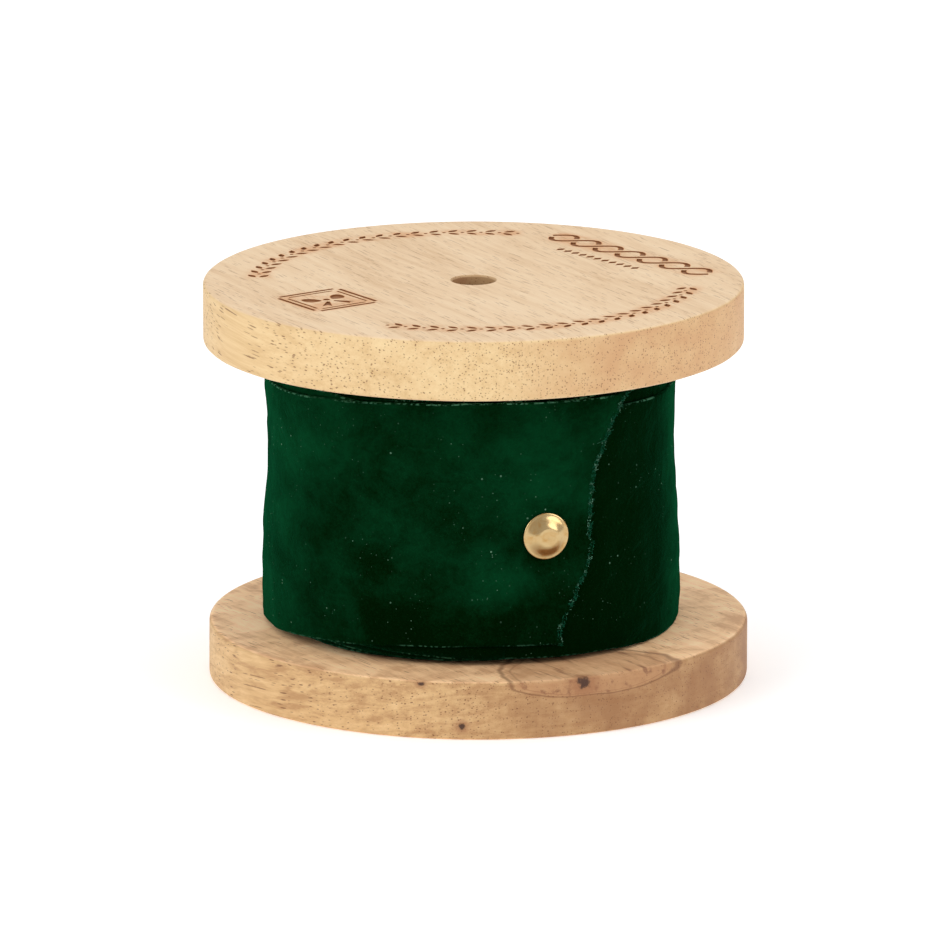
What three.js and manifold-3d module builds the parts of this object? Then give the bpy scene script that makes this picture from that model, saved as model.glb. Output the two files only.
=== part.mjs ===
// Ribbon spool: two turned wooden flanges doweled to a bored core, a wound velvet ribbon, and the
// drawing pin that holds the ribbon's free end. Millimetres, +Z up, base at z = 0, spindle axis on Z.
import * as THREE from 'three';
import Module from 'manifold-3d';

// ---- driving dimensions -------------------------------------------------------------------------
const FLANGE_DIAMETER = 120;
const TOP_FLANGE_THICKNESS = 13.5;
const BOTTOM_FLANGE_THICKNESS = 13;
const FLANGE_SPACING = 63;
const FLANGE_EDGE_RADIUS = 0.9;

const BORE_DIAMETER = 9.5;
const BORE_MOUTH_CHAMFER = 0.4;

const CORE_DIAMETER = 42;
const SOCKET_DEPTH = 3;

const DOWEL_DIAMETER = 6;
const DOWEL_FLUTE_DEPTH = 0.25;
const DOWEL_FLUTES = 12;
const DOWEL_IN_FLANGE = 6.5;
const DOWEL_IN_CORE = 12;
const DOWELS_PER_END = 3;
const DOWEL_CHAMFER = 0.6;
const TOP_DOWEL_TURN = 90;
const BOTTOM_DOWEL_TURN = 30;

const RIBBON_MARGIN = 4.5;
const RIBBON_PITCH = 0.95;
const RIBBON_WANDER = 2.5;
const RIBBON_OUTER_RADIUS = 46;
const CUT_ANGLE_LOW = 26;
const CUT_ANGLE_HIGH = 43;

const TACK_HEAD_DIAMETER = 10.5;
const TACK_HEAD_RISE = 1.7;
const TACK_SHEET = 0.45;
const TACK_PIN_DIAMETER = 1.2;
const TACK_PIN_LENGTH = 8.5;
const TACK_POINT_LENGTH = 1.6;
const TACK_RIVET_DIAMETER = 3;
const TACK_RIVET_THICKNESS = 0.6;
const TACK_ANGLE = 20;
const TACK_BACK_FROM_MIDDLE = 2.6;

const STAPLE_CROWN = 10;
const STAPLE_LEG = 6;
const STAPLE_WIRE = 0.6;
const STAPLE_RISE = 13;
const STAPLE_CORNER = 0.8;
const STAPLE_STEPS = 40;

const ENGRAVING_DEPTH = 0.35;
const GARLAND_RADIUS = 48;
const GARLAND_HEIGHT = 5;
const GARLAND_PITCH = 4.2;
const GARLAND_SPANS = [[78, 178], [-113, -8]];
const LEAF_LENGTH_SHARE = 0.58;
const LEAF_WIDTH_SHARE = 0.26;
const LEAF_OFFSET_SHARE = 0.27;
const LEAF_TILT = 38;
const BERRY_RADIUS_SHARE = 0.08;
const PLAIT_LENGTH = 52;
const PLAIT_HEIGHT = 7.6;
const PLAIT_WAVES = 3.5;
const PLAIT_STROKE = 1.15;
const PLAIT_BREAK = 1;
const PLAIT_TURN = -49;
const PLAIT_CENTRE = [35, 25.3];
const PLAIT_SAMPLE = 1.2;
const DIAMOND_COUNT = 11;
const DIAMOND_PITCH = 2.5;
const DIAMOND_HALF_WIDTH = 0.8;
const DIAMOND_HALF_HEIGHT = 1.3;
const DIAMOND_ROW_CENTRE = [27.7, 21.2];
const STAMP_SIDE = 17;
const STAMP_TURN = 35;
const STAMP_CENTRE = [-32.2, -19.6];
const STAMP_OUTER_STROKE = 0.8;
const STAMP_INNER_STROKE = 0.5;
const STAMP_LINE_GAP = 0.9;
const STAMP_CORNER_GAP = 0.6;

// ---- clearances ---------------------------------------------------------------------------------
const GLUE_GAP = 0.3;
const DOWEL_GAP = 0.15;
const RIBBON_GAP = 0.3;
const TACK_GAP = 0.25;
const PIN_GAP = 0.15;
const RIVET_GAP = 0.1;
const STAPLE_GAP = 0.2;
const CUT_OVERRUN = 1;

// ---- sizes that follow from those above ---------------------------------------------------------
const FLANGE_RADIUS = FLANGE_DIAMETER / 2;
const BORE_RADIUS = BORE_DIAMETER / 2;
const CORE_RADIUS = CORE_DIAMETER / 2;
const CHANNEL_LOW = BOTTOM_FLANGE_THICKNESS;
const CHANNEL_HIGH = CHANNEL_LOW + FLANGE_SPACING;
const CHANNEL_MIDDLE = (CHANNEL_LOW + CHANNEL_HIGH) / 2;
const CORE_LOW = CHANNEL_LOW - SOCKET_DEPTH + GLUE_GAP;
const CORE_HIGH = CHANNEL_HIGH + SOCKET_DEPTH - GLUE_GAP;
const DOWEL_CIRCLE_RADIUS = (BORE_RADIUS + CORE_RADIUS) / 2;
const RIBBON_WIDTH = FLANGE_SPACING - 2 * RIBBON_MARGIN;
const RIBBON_INNER_RADIUS = CORE_RADIUS + RIBBON_GAP;
const LAST_TURN_LOW = CHANNEL_LOW + RIBBON_MARGIN;
const TACK_HEIGHT = CHANNEL_MIDDLE - TACK_BACK_FROM_MIDDLE;

const ROUND_SEGMENTS = 96;
const CORE_SEGMENTS = 64;
const BORE_SEGMENTS = 32;
const PIN_SEGMENTS = 24;
const MARK_SEGMENTS = 3;
const BOW_SEGMENTS = 4;
const EDGE_STEPS = 3;
const TWIST_STEPS = 6;
const TACK_SEGMENTS = 48;
const DOME_STEPS = 8;
const DOME_FULLNESS = 0.8;

// ---- finishes -----------------------------------------------------------------------------------
const paleWood = new THREE.MeshStandardMaterial({ color: 0xe6c291, roughness: 0.7, metalness: 0 });
const tanWood = new THREE.MeshStandardMaterial({ color: 0xc9a173, roughness: 0.7, metalness: 0 });
const coreWood = new THREE.MeshStandardMaterial({ color: 0xd8bb8c, roughness: 0.8, metalness: 0 });
const beech = new THREE.MeshStandardMaterial({ color: 0xd9b487, roughness: 0.8, metalness: 0 });
const velvet = new THREE.MeshStandardMaterial({ color: 0x06301c, roughness: 0.95, metalness: 0 });
const brass = new THREE.MeshStandardMaterial({ color: 0xc9a24a, roughness: 0.25, metalness: 1 });
const steel = new THREE.MeshStandardMaterial({ color: 0x9a9da0, roughness: 0.35, metalness: 1 });

// ---- solid helpers ------------------------------------------------------------------------------
const wasm = await Module();
wasm.setup();

/** Welds a three.js geometry and hands it to the boolean library. */
function toSolid(geometry) {
  const welded = mergeCorners(geometry);
  const mesh = new wasm.Mesh({
    numProp: 3,
    vertProperties: welded.positions,
    triVerts: welded.triangles,
  });
  return new wasm.Manifold(mesh);
}

/** Joins corners that share a place, and drops triangles that have collapsed. */
function mergeCorners(geometry) {
  const places = geometry.attributes.position;
  const order = geometry.index ? geometry.index.array : [...Array(places.count).keys()];
  const seen = new Map();
  const positions = [];
  const remap = [];
  for (let i = 0; i < places.count; i += 1) {
    const corner = [places.getX(i), places.getY(i), places.getZ(i)];
    const key = corner.map((value) => Math.round(value * 1e4)).join(',');
    if (!seen.has(key)) {
      seen.set(key, positions.length / 3);
      positions.push(...corner);
    }
    remap.push(seen.get(key));
  }
  const triangles = [];
  for (let i = 0; i < order.length; i += 3) {
    const [a, b, c] = [remap[order[i]], remap[order[i + 1]], remap[order[i + 2]]];
    if (a !== b && b !== c && c !== a) triangles.push(a, b, c);
  }
  return { positions: new Float32Array(positions), triangles: new Uint32Array(triangles) };
}

/** Turns a finished solid into a named mesh with the given finish. */
function toMesh(name, solid, material) {
  const result = solid.getMesh();
  const geometry = new THREE.BufferGeometry();
  geometry.setAttribute('position', new THREE.BufferAttribute(result.vertProperties, 3));
  geometry.setIndex(new THREE.BufferAttribute(result.triVerts, 1));
  geometry.computeVertexNormals();
  const mesh = new THREE.Mesh(geometry, material);
  mesh.name = name;
  return mesh;
}

/** Solid of revolution about Z from [radius, height] corners listed anticlockwise. */
function turned(corners, segments) {
  const profile = corners.map(([radius, height]) => new THREE.Vector2(radius, height));
  const geometry = new THREE.LatheGeometry(profile, segments);
  geometry.rotateX(Math.PI / 2);
  return toSolid(geometry);
}

/** Quarter circle of corners around a centre, from one angle to another in degrees. */
function quarter(centreRadius, centreHeight, radius, fromAngle, toAngle) {
  const corners = [];
  for (let step = 0; step <= EDGE_STEPS; step += 1) {
    const angle = THREE.MathUtils.degToRad(fromAngle + ((toAngle - fromAngle) * step) / EDGE_STEPS);
    corners.push([
      centreRadius + radius * Math.cos(angle),
      centreHeight + radius * Math.sin(angle),
    ]);
  }
  return corners;
}

/** Straight prism from a flat shape, standing on z = low. */
function prism(shape, low, height, curveSegments = 8) {
  const geometry = new THREE.ExtrudeGeometry(shape, {
    depth: height,
    bevelEnabled: false,
    curveSegments,
  });
  geometry.translate(0, 0, low);
  return toSolid(geometry);
}

/** Straight cylinder standing on z = low at a place in plan. */
function cylinder(radius, low, height, x = 0, y = 0, segments = 24) {
  const geometry = new THREE.CylinderGeometry(radius, radius, height, segments);
  geometry.rotateX(Math.PI / 2);
  geometry.translate(x, y, low + height / 2);
  return toSolid(geometry);
}

/** Places of the dowels in plan, at one end turned against the other. */
function dowelPlaces(turnDegrees) {
  const places = [];
  for (let index = 0; index < DOWELS_PER_END; index += 1) {
    const angle = THREE.MathUtils.degToRad(turnDegrees + (360 * index) / DOWELS_PER_END);
    places.push([DOWEL_CIRCLE_RADIUS * Math.cos(angle), DOWEL_CIRCLE_RADIUS * Math.sin(angle)]);
  }
  return places;
}

// ---- flanges ------------------------------------------------------------------------------------
/** Turned disc with eased edges, a bore and a socket for the core in its inner face. */
function flange(thickness, socketUp) {
  const edge = FLANGE_EDGE_RADIUS;
  const outer = FLANGE_RADIUS - edge;
  const socket = CORE_RADIUS + GLUE_GAP;
  const mouth = BORE_RADIUS + BORE_MOUTH_CHAMFER;
  const floor = thickness - SOCKET_DEPTH;
  const disc = turned([
    [mouth, 0],
    ...quarter(outer, edge, edge, -90, 0),
    ...quarter(outer, thickness - edge, edge, 0, 90),
    [socket, thickness],
    [socket, floor],
    [BORE_RADIUS, floor],
    [BORE_RADIUS, BORE_MOUTH_CHAMFER],
    [mouth, 0],
  ], ROUND_SEGMENTS);
  return socketUp ? disc : disc.mirror([0, 0, 1]).translate([0, 0, thickness]);
}

/** Holes for the dowels, from the socket's floor into the flange. */
function dowelHoles(turnDegrees, low, height) {
  return dowelPlaces(turnDegrees)
    .map(([x, y]) => cylinder(DOWEL_DIAMETER / 2 + DOWEL_GAP, low, height, x, y, BORE_SEGMENTS))
    .reduce((all, hole) => all.add(hole));
}

function bottomFlange() {
  const floor = CHANNEL_LOW - SOCKET_DEPTH;
  const holes = dowelHoles(BOTTOM_DOWEL_TURN, floor - DOWEL_IN_FLANGE, DOWEL_IN_FLANGE + CUT_OVERRUN);
  return flange(BOTTOM_FLANGE_THICKNESS, true).subtract(holes);
}

function topFlange() {
  const floor = CHANNEL_HIGH + SOCKET_DEPTH;
  const topFace = CHANNEL_HIGH + TOP_FLANGE_THICKNESS;
  const holes = dowelHoles(TOP_DOWEL_TURN, floor - CUT_OVERRUN, DOWEL_IN_FLANGE + CUT_OVERRUN);
  const disc = flange(TOP_FLANGE_THICKNESS, false).translate([0, 0, CHANNEL_HIGH]);
  return disc.subtract(holes).subtract(engraving(topFace));
}

// ---- engraved ornament on the upper face --------------------------------------------------------
/** Pointed leaf lying along +X, centred on its middle. */
function leafShape(length, width) {
  const half = length / 2;
  const leaf = new THREE.Shape();
  leaf.moveTo(-half, 0);
  leaf.quadraticCurveTo(0, -width, half, 0);
  leaf.quadraticCurveTo(0, width, -half, 0);
  return leaf;
}

/** Cutter for one engraved mark, turned and moved into place in plan. */
function mark(shape, x, y, turnDegrees, topFace, curveSegments = MARK_SEGMENTS) {
  return prism(shape, topFace - ENGRAVING_DEPTH, ENGRAVING_DEPTH + CUT_OVERRUN, curveSegments)
    .rotate([0, 0, turnDegrees])
    .translate([x, y, 0]);
}

/** Row of leaf pairs with berries between them, along an arc around the bore. */
function garland(fromAngle, toAngle, topFace) {
  const arc = THREE.MathUtils.degToRad(toAngle - fromAngle) * GARLAND_RADIUS;
  const units = Math.round(arc / GARLAND_PITCH);
  const leaf = leafShape(GARLAND_HEIGHT * LEAF_LENGTH_SHARE, GARLAND_HEIGHT * LEAF_WIDTH_SHARE);
  const berryRadius = GARLAND_HEIGHT * BERRY_RADIUS_SHARE;
  const berry = new THREE.Shape().absarc(0, 0, berryRadius, 0, 2 * Math.PI);
  const spread = GARLAND_HEIGHT * LEAF_OFFSET_SHARE;
  const cutters = [];
  for (let unit = 0; unit < units; unit += 1) {
    const angle = fromAngle + ((toAngle - fromAngle) * (unit + 0.5)) / units;
    const along = THREE.MathUtils.degToRad(angle);
    for (const side of [-1, 1]) {
      const radius = GARLAND_RADIUS + side * spread;
      const turn = angle - 90 + side * LEAF_TILT;
      cutters.push(mark(leaf, radius * Math.cos(along), radius * Math.sin(along), turn, topFace));
    }
    const before = along - THREE.MathUtils.degToRad((toAngle - fromAngle) / units / 2);
    const x = GARLAND_RADIUS * Math.cos(before);
    const y = GARLAND_RADIUS * Math.sin(before);
    cutters.push(mark(berry, x, y, 0, topFace));
  }
  return cutters;
}

/** One stretch of a plait strand: a wave of even stroke width along +X, between two places. */
function strandShape(phase, from, to) {
  const samples = Math.max(4, Math.round((to - from) / PLAIT_SAMPLE));
  const amplitude = (PLAIT_HEIGHT - PLAIT_STROKE) / 2;
  const wave = (2 * Math.PI * PLAIT_WAVES) / PLAIT_LENGTH;
  const left = [];
  const right = [];
  for (let i = 0; i <= samples; i += 1) {
    const along = from + ((to - from) * i) / samples;
    const x = along - PLAIT_LENGTH / 2;
    const y = phase * amplitude * Math.sin(wave * along);
    const slope = phase * amplitude * wave * Math.cos(wave * along);
    const scale = PLAIT_STROKE / 2 / Math.hypot(1, slope);
    left.push(new THREE.Vector2(x - slope * scale, y + scale));
    right.push(new THREE.Vector2(x + slope * scale, y - scale));
  }
  return new THREE.Shape([...right, ...left.reverse()]);
}

/** Two strands that pass over and under each other: a strand is broken where it goes under. */
function strandShapes() {
  const crossing = PLAIT_LENGTH / (2 * PLAIT_WAVES);
  const last = Math.round(2 * PLAIT_WAVES);
  const shapes = [];
  for (let over = 0; over <= last; over += 1) {
    const phase = over % 2 ? -1 : 1;
    const from = over === 0 ? 0 : (over - 1) * crossing + PLAIT_BREAK;
    const to = over === last ? PLAIT_LENGTH : (over + 1) * crossing - PLAIT_BREAK;
    shapes.push(strandShape(phase, from, to));
  }
  return shapes;
}

/** The plait with a row of diamonds below it. */
function plait(topFace) {
  const cutters = strandShapes().map((shape) => mark(shape, ...PLAIT_CENTRE, PLAIT_TURN, topFace));
  const diamond = new THREE.Shape([
    new THREE.Vector2(-DIAMOND_HALF_WIDTH, 0),
    new THREE.Vector2(0, -DIAMOND_HALF_HEIGHT),
    new THREE.Vector2(DIAMOND_HALF_WIDTH, 0),
    new THREE.Vector2(0, DIAMOND_HALF_HEIGHT),
  ]);
  const [rowX, rowY] = DIAMOND_ROW_CENTRE;
  const direction = THREE.MathUtils.degToRad(PLAIT_TURN);
  for (let index = 0; index < DIAMOND_COUNT; index += 1) {
    const along = (index - (DIAMOND_COUNT - 1) / 2) * DIAMOND_PITCH;
    const x = rowX + along * Math.cos(direction);
    const y = rowY + along * Math.sin(direction);
    cutters.push(mark(diamond, x, y, PLAIT_TURN, topFace));
  }
  return cutters;
}

/** Four bars that draw a square with open corners. */
function frameBars(side, stroke) {
  const outer = side / 2;
  const inner = outer - stroke;
  const end = inner - STAMP_CORNER_GAP;
  const bars = [];
  for (let quarterTurn = 0; quarterTurn < 4; quarterTurn += 1) {
    const angle = (Math.PI / 2) * quarterTurn;
    const corners = [[-end, inner], [end, inner], [end, outer], [-end, outer]];
    const turnedCorners = corners.map(([x, y]) => new THREE.Vector2(x, y).rotateAround(
      new THREE.Vector2(0, 0),
      angle,
    ));
    bars.push(new THREE.Shape(turnedCorners));
  }
  return bars;
}

/** Tied bow: two loops, two tails and a knot, clear of each other. */
function bowShapes() {
  const shapes = [];
  for (const side of [-1, 1]) {
    const loop = new THREE.Shape();
    loop.moveTo(side * 1.5, 0.75);
    loop.bezierCurveTo(side * 2.6, 3.9, side * 5.4, 4.2, side * 5.2, 1.6);
    loop.bezierCurveTo(side * 5, -0.9, side * 3, -0.7, side * 1.5, -0.1);
    shapes.push(loop);
    shapes.push(new THREE.Shape([
      new THREE.Vector2(side * 1, -1.3),
      new THREE.Vector2(side * 4.4, -4.6),
      new THREE.Vector2(side * 2.9, -4.3),
      new THREE.Vector2(side * 2.4, -5.4),
      new THREE.Vector2(side * 0.55, -1.7),
    ]));
  }
  shapes.push(new THREE.Shape().absellipse(0, 0.3, 0.7, 0.8, 0, 2 * Math.PI));
  return shapes;
}

/** Square stamp: a double frame with a bow inside. */
function stamp(topFace) {
  const innerSide = STAMP_SIDE - 2 * (STAMP_OUTER_STROKE + STAMP_LINE_GAP);
  const shapes = [
    ...frameBars(STAMP_SIDE, STAMP_OUTER_STROKE),
    ...frameBars(innerSide, STAMP_INNER_STROKE),
    ...bowShapes(),
  ];
  return shapes.map((shape) => mark(shape, ...STAMP_CENTRE, STAMP_TURN, topFace, BOW_SEGMENTS));
}

function engraving(topFace) {
  const cutters = [
    ...GARLAND_SPANS.flatMap(([from, to]) => garland(from, to, topFace)),
    ...plait(topFace),
    ...stamp(topFace),
  ];
  return cutters.reduce((all, cutter) => all.add(cutter));
}

// ---- core and dowels ----------------------------------------------------------------------------
/** Bored hub with blind dowel holes in both ends and holes for the staples' legs. */
function core() {
  const hub = turned([
    [BORE_RADIUS, CORE_LOW],
    [CORE_RADIUS, CORE_LOW],
    [CORE_RADIUS, CORE_HIGH],
    [BORE_RADIUS, CORE_HIGH],
    [BORE_RADIUS, CORE_LOW],
  ], CORE_SEGMENTS);
  const depth = DOWEL_IN_CORE + CUT_OVERRUN;
  const lowHoles = dowelHoles(BOTTOM_DOWEL_TURN, CORE_LOW - CUT_OVERRUN, depth);
  const highHoles = dowelHoles(TOP_DOWEL_TURN, CORE_HIGH - DOWEL_IN_CORE, depth);
  return hub.subtract(lowHoles).subtract(highHoles).subtract(staplePockets());
}

/** Fluted dowel with chamfered ends, standing between two heights. */
function dowel(x, y, low, high) {
  const outline = [];
  const radius = DOWEL_DIAMETER / 2;
  for (let index = 0; index < DOWEL_FLUTES * 2; index += 1) {
    const angle = (Math.PI * index) / DOWEL_FLUTES;
    const reach = radius - DOWEL_CHAMFER - DOWEL_GAP - (index % 2 ? DOWEL_FLUTE_DEPTH : 0);
    outline.push(new THREE.Vector2(reach * Math.cos(angle), reach * Math.sin(angle)));
  }
  const geometry = new THREE.ExtrudeGeometry(new THREE.Shape(outline), {
    depth: high - low - 2 * DOWEL_CHAMFER,
    bevelThickness: DOWEL_CHAMFER,
    bevelSize: DOWEL_CHAMFER,
    bevelSegments: 1,
  });
  geometry.translate(x, y, low + DOWEL_CHAMFER);
  return toSolid(geometry);
}

// ---- staples that hold the ribbon's inner end ---------------------------------------------------
/** U of wire, legs along -X from x = 0, crown standing along Z. */
function stapleWire(wire, crown, leg) {
  const half = crown / 2;
  const corner = STAPLE_CORNER;
  const path = new THREE.CurvePath();
  const at = (x, z) => new THREE.Vector3(x, 0, z);
  path.add(new THREE.LineCurve3(at(-leg, -half), at(-corner, -half)));
  path.add(new THREE.QuadraticBezierCurve3(at(-corner, -half), at(0, -half), at(0, corner - half)));
  path.add(new THREE.LineCurve3(at(0, corner - half), at(0, half - corner)));
  path.add(new THREE.QuadraticBezierCurve3(at(0, half - corner), at(0, half), at(-corner, half)));
  path.add(new THREE.LineCurve3(at(-corner, half), at(-leg, half)));
  const side = wire / 2;
  const section = new THREE.Shape([
    new THREE.Vector2(-side, -side),
    new THREE.Vector2(side, -side),
    new THREE.Vector2(side, side),
    new THREE.Vector2(-side, side),
  ]);
  return toSolid(new THREE.ExtrudeGeometry(section, { steps: STAPLE_STEPS, extrudePath: path }));
}

/** Heights of the two staples' middles. */
const STAPLE_HEIGHTS = [CHANNEL_MIDDLE + STAPLE_RISE, CHANNEL_MIDDLE - STAPLE_RISE];
const STAPLE_CROWN_RADIUS = CORE_RADIUS + RIBBON_GAP + RIBBON_PITCH + STAPLE_WIRE / 2;

function staple(height) {
  return stapleWire(STAPLE_WIRE, STAPLE_CROWN, STAPLE_LEG)
    .translate([STAPLE_CROWN_RADIUS, 0, height]);
}

/** Room for both staples in the core and the ribbon. */
function staplePockets() {
  const pockets = STAPLE_HEIGHTS.map((height) => {
    const length = STAPLE_LEG + STAPLE_WIRE / 2 + 2 * STAPLE_GAP;
    const deep = STAPLE_WIRE + 2 * STAPLE_GAP;
    const span = STAPLE_CROWN + STAPLE_WIRE + 2 * STAPLE_GAP;
    const outer = STAPLE_CROWN_RADIUS + STAPLE_WIRE / 2 + STAPLE_GAP;
    const crown = new THREE.BoxGeometry(outer - CORE_RADIUS + GLUE_GAP, deep, span);
    crown.translate((outer + CORE_RADIUS - GLUE_GAP) / 2, 0, height);
    const legs = [-1, 1].map((side) => {
      const leg = new THREE.BoxGeometry(length, deep, deep);
      leg.translate(outer - length / 2, 0, height + (side * STAPLE_CROWN) / 2);
      return toSolid(leg);
    });
    return toSolid(crown).add(legs[0]).add(legs[1]);
  });
  return pockets[0].add(pockets[1]);
}

// ---- ribbon -------------------------------------------------------------------------------------
/** Outline of the last turn: it grows by one ribbon thickness from its start to its cut end. */
function lastTurnShape() {
  const outline = [];
  for (let index = 0; index <= ROUND_SEGMENTS; index += 1) {
    const share = index / ROUND_SEGMENTS;
    const radius = RIBBON_OUTER_RADIUS - RIBBON_PITCH * (1 - share);
    const angle = 2 * Math.PI * share;
    outline.push(new THREE.Vector2(radius * Math.cos(angle), radius * Math.sin(angle)));
  }
  const shape = new THREE.Shape(outline);
  const bore = RIBBON_INNER_RADIUS + RIBBON_PITCH;
  shape.holes.push(new THREE.Path().absarc(0, 0, bore, 0, 2 * Math.PI, true));
  return shape;
}

/** Last turn with its end cut at a slant: each level is turned to that level's cut angle. */
function lastTurn() {
  const geometry = new THREE.ExtrudeGeometry(lastTurnShape(), {
    depth: RIBBON_WIDTH,
    steps: TWIST_STEPS,
    bevelEnabled: false,
    curveSegments: CORE_SEGMENTS / 2,
  });
  const places = geometry.attributes.position;
  const corner = new THREE.Vector3();
  const up = new THREE.Vector3(0, 0, 1);
  for (let i = 0; i < places.count; i += 1) {
    corner.fromBufferAttribute(places, i);
    const cut = CUT_ANGLE_LOW + ((CUT_ANGLE_HIGH - CUT_ANGLE_LOW) * corner.z) / RIBBON_WIDTH;
    corner.applyAxisAngle(up, THREE.MathUtils.degToRad(cut - 90));
    places.setXYZ(i, corner.x, corner.y, corner.z + LAST_TURN_LOW);
  }
  return toSolid(geometry);
}

/** The wound ribbon: turns that wander up and down under the last turn. */
function ribbon() {
  const low = LAST_TURN_LOW - RIBBON_WANDER;
  const high = LAST_TURN_LOW + RIBBON_WIDTH + RIBBON_WANDER;
  const outer = RIBBON_OUTER_RADIUS - RIBBON_PITCH;
  const crest = outer - 2 * RIBBON_PITCH;
  const turns = turned([
    [RIBBON_INNER_RADIUS, low],
    [crest, low],
    [outer, low + RIBBON_PITCH],
    [outer, high - RIBBON_PITCH],
    [crest, high],
    [RIBBON_INNER_RADIUS, high],
    [RIBBON_INNER_RADIUS, low],
  ], ROUND_SEGMENTS);
  const pinRoom = TACK_PIN_LENGTH + 2 * PIN_GAP;
  const pinHole = cylinder(TACK_PIN_DIAMETER / 2 + PIN_GAP, -pinRoom, pinRoom + CUT_OVERRUN);
  return turns.add(lastTurn()).subtract(staplePockets()).subtract(onTackAxis(pinHole));
}

// ---- drawing pin --------------------------------------------------------------------------------
/** Moves a solid built along Z, with z = 0 at the ribbon's face, onto the tack's axis. */
function onTackAxis(solid) {
  const turn = TACK_ANGLE;
  const angle = THREE.MathUtils.degToRad(turn);
  const reach = RIBBON_OUTER_RADIUS;
  return solid
    .rotate([90, 0, 0])
    .rotate([0, 0, turn])
    .translate([reach * Math.sin(angle), -reach * Math.cos(angle), TACK_HEIGHT]);
}

/** Corners of a dome's profile, from its rim up to its apex on the axis. */
function domeCorners(rim, rise) {
  const corners = [];
  for (let step = 0; step <= DOME_STEPS; step += 1) {
    const angle = (Math.PI / 2) * (step / DOME_STEPS);
    const radius = step === DOME_STEPS ? 0 : rim * Math.cos(angle);
    corners.push([radius, TACK_GAP + rise * Math.sin(angle) ** DOME_FULLNESS]);
  }
  return corners;
}

/** Pressed domed cap, hollow below. */
function tackCap() {
  const rim = TACK_HEAD_DIAMETER / 2;
  const outside = domeCorners(rim, TACK_HEAD_RISE);
  const inside = domeCorners(rim - TACK_SHEET, TACK_HEAD_RISE - TACK_SHEET);
  return onTackAxis(turned([...inside.reverse(), ...outside], TACK_SEGMENTS));
}

/** Pointed pin with the flat rivet head that the cap is pressed over. */
function tackPin() {
  const shank = TACK_PIN_DIAMETER / 2;
  const rivetTop = TACK_GAP + TACK_HEAD_RISE - TACK_SHEET - RIVET_GAP;
  const rivetLow = rivetTop - TACK_RIVET_THICKNESS;
  const pin = turned([
    [0, -TACK_PIN_LENGTH],
    [shank, TACK_POINT_LENGTH - TACK_PIN_LENGTH],
    [shank, rivetLow],
    [TACK_RIVET_DIAMETER / 2, rivetLow],
    [TACK_RIVET_DIAMETER / 2, rivetTop - RIVET_GAP],
    [TACK_RIVET_DIAMETER / 2 - 2 * RIVET_GAP, rivetTop],
    [0, rivetTop],
  ], PIN_SEGMENTS);
  return onTackAxis(pin);
}

// ---- assembly -----------------------------------------------------------------------------------
const spool = new THREE.Group();
spool.name = 'ribbon_spool';
spool.add(toMesh('bottom_flange', bottomFlange(), tanWood));
spool.add(toMesh('core', core(), coreWood));
spool.add(toMesh('top_flange', topFlange(), paleWood));
spool.add(toMesh('ribbon', ribbon(), velvet));
spool.add(toMesh('tack_cap', tackCap(), brass));
spool.add(toMesh('tack_pin', tackPin(), steel));

const flangeEnd = DOWEL_IN_FLANGE - GLUE_GAP;
const coreEnd = DOWEL_IN_CORE - GLUE_GAP;
dowelPlaces(BOTTOM_DOWEL_TURN).forEach(([x, y], index) => {
  const low = CHANNEL_LOW - SOCKET_DEPTH - flangeEnd;
  const body = dowel(x, y, low, CORE_LOW + coreEnd);
  spool.add(toMesh(`dowel_bottom_${index + 1}`, body, beech));
});
dowelPlaces(TOP_DOWEL_TURN).forEach(([x, y], index) => {
  const high = CHANNEL_HIGH + SOCKET_DEPTH + flangeEnd;
  const body = dowel(x, y, CORE_HIGH - coreEnd, high);
  spool.add(toMesh(`dowel_top_${index + 1}`, body, beech));
});
['upper', 'lower'].forEach((place, index) => {
  spool.add(toMesh(`start_staple_${place}`, staple(STAPLE_HEIGHTS[index]), steel));
});

export default spool;
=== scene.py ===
"""Ribbon spool: turned wooden flanges on a bored core, wound velvet ribbon and its drawing pin."""

from __future__ import annotations

import logging
import math
import random
from dataclasses import dataclass, field
from enum import Enum
from typing import Callable, Iterable, Sequence

import bmesh  # noqa: E402
import bpy  # noqa: E402
from mathutils import Matrix, Vector, noise  # noqa: E402

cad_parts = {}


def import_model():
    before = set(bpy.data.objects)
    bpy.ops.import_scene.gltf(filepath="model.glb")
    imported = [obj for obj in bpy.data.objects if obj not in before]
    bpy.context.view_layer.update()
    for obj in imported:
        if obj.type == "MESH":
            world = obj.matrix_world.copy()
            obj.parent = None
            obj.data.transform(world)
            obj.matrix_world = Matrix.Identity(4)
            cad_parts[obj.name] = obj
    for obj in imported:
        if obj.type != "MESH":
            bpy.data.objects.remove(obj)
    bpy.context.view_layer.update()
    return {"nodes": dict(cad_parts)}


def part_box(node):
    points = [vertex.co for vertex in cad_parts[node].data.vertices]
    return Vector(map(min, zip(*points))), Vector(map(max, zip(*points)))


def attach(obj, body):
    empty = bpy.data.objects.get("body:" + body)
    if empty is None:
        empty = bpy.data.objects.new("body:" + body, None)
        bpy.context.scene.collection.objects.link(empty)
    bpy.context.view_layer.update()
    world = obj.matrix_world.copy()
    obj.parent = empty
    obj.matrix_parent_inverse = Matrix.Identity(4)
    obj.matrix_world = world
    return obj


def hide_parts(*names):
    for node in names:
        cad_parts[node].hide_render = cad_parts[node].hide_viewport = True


LOG = logging.getLogger("ribbon_spool")
MM = 0.001
PER_MM = 1000.0
TAU = math.tau
BORE_RADIUS = 4.75  # of the hole for the spindle, in millimetres
TACK_ANGLE = 20.0  # degrees from the front towards +X
TACK_HEIGHT = 41.9  # above the base, in millimetres
SAME_LEVEL = 1e-4  # height in millimetres within which points lie level

Colour = tuple[float, float, float]
Point2 = tuple[float, float]
Point3 = tuple[float, float, float]
Socket = bpy.types.NodeSocket
Piece = bpy.types.Object


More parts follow.
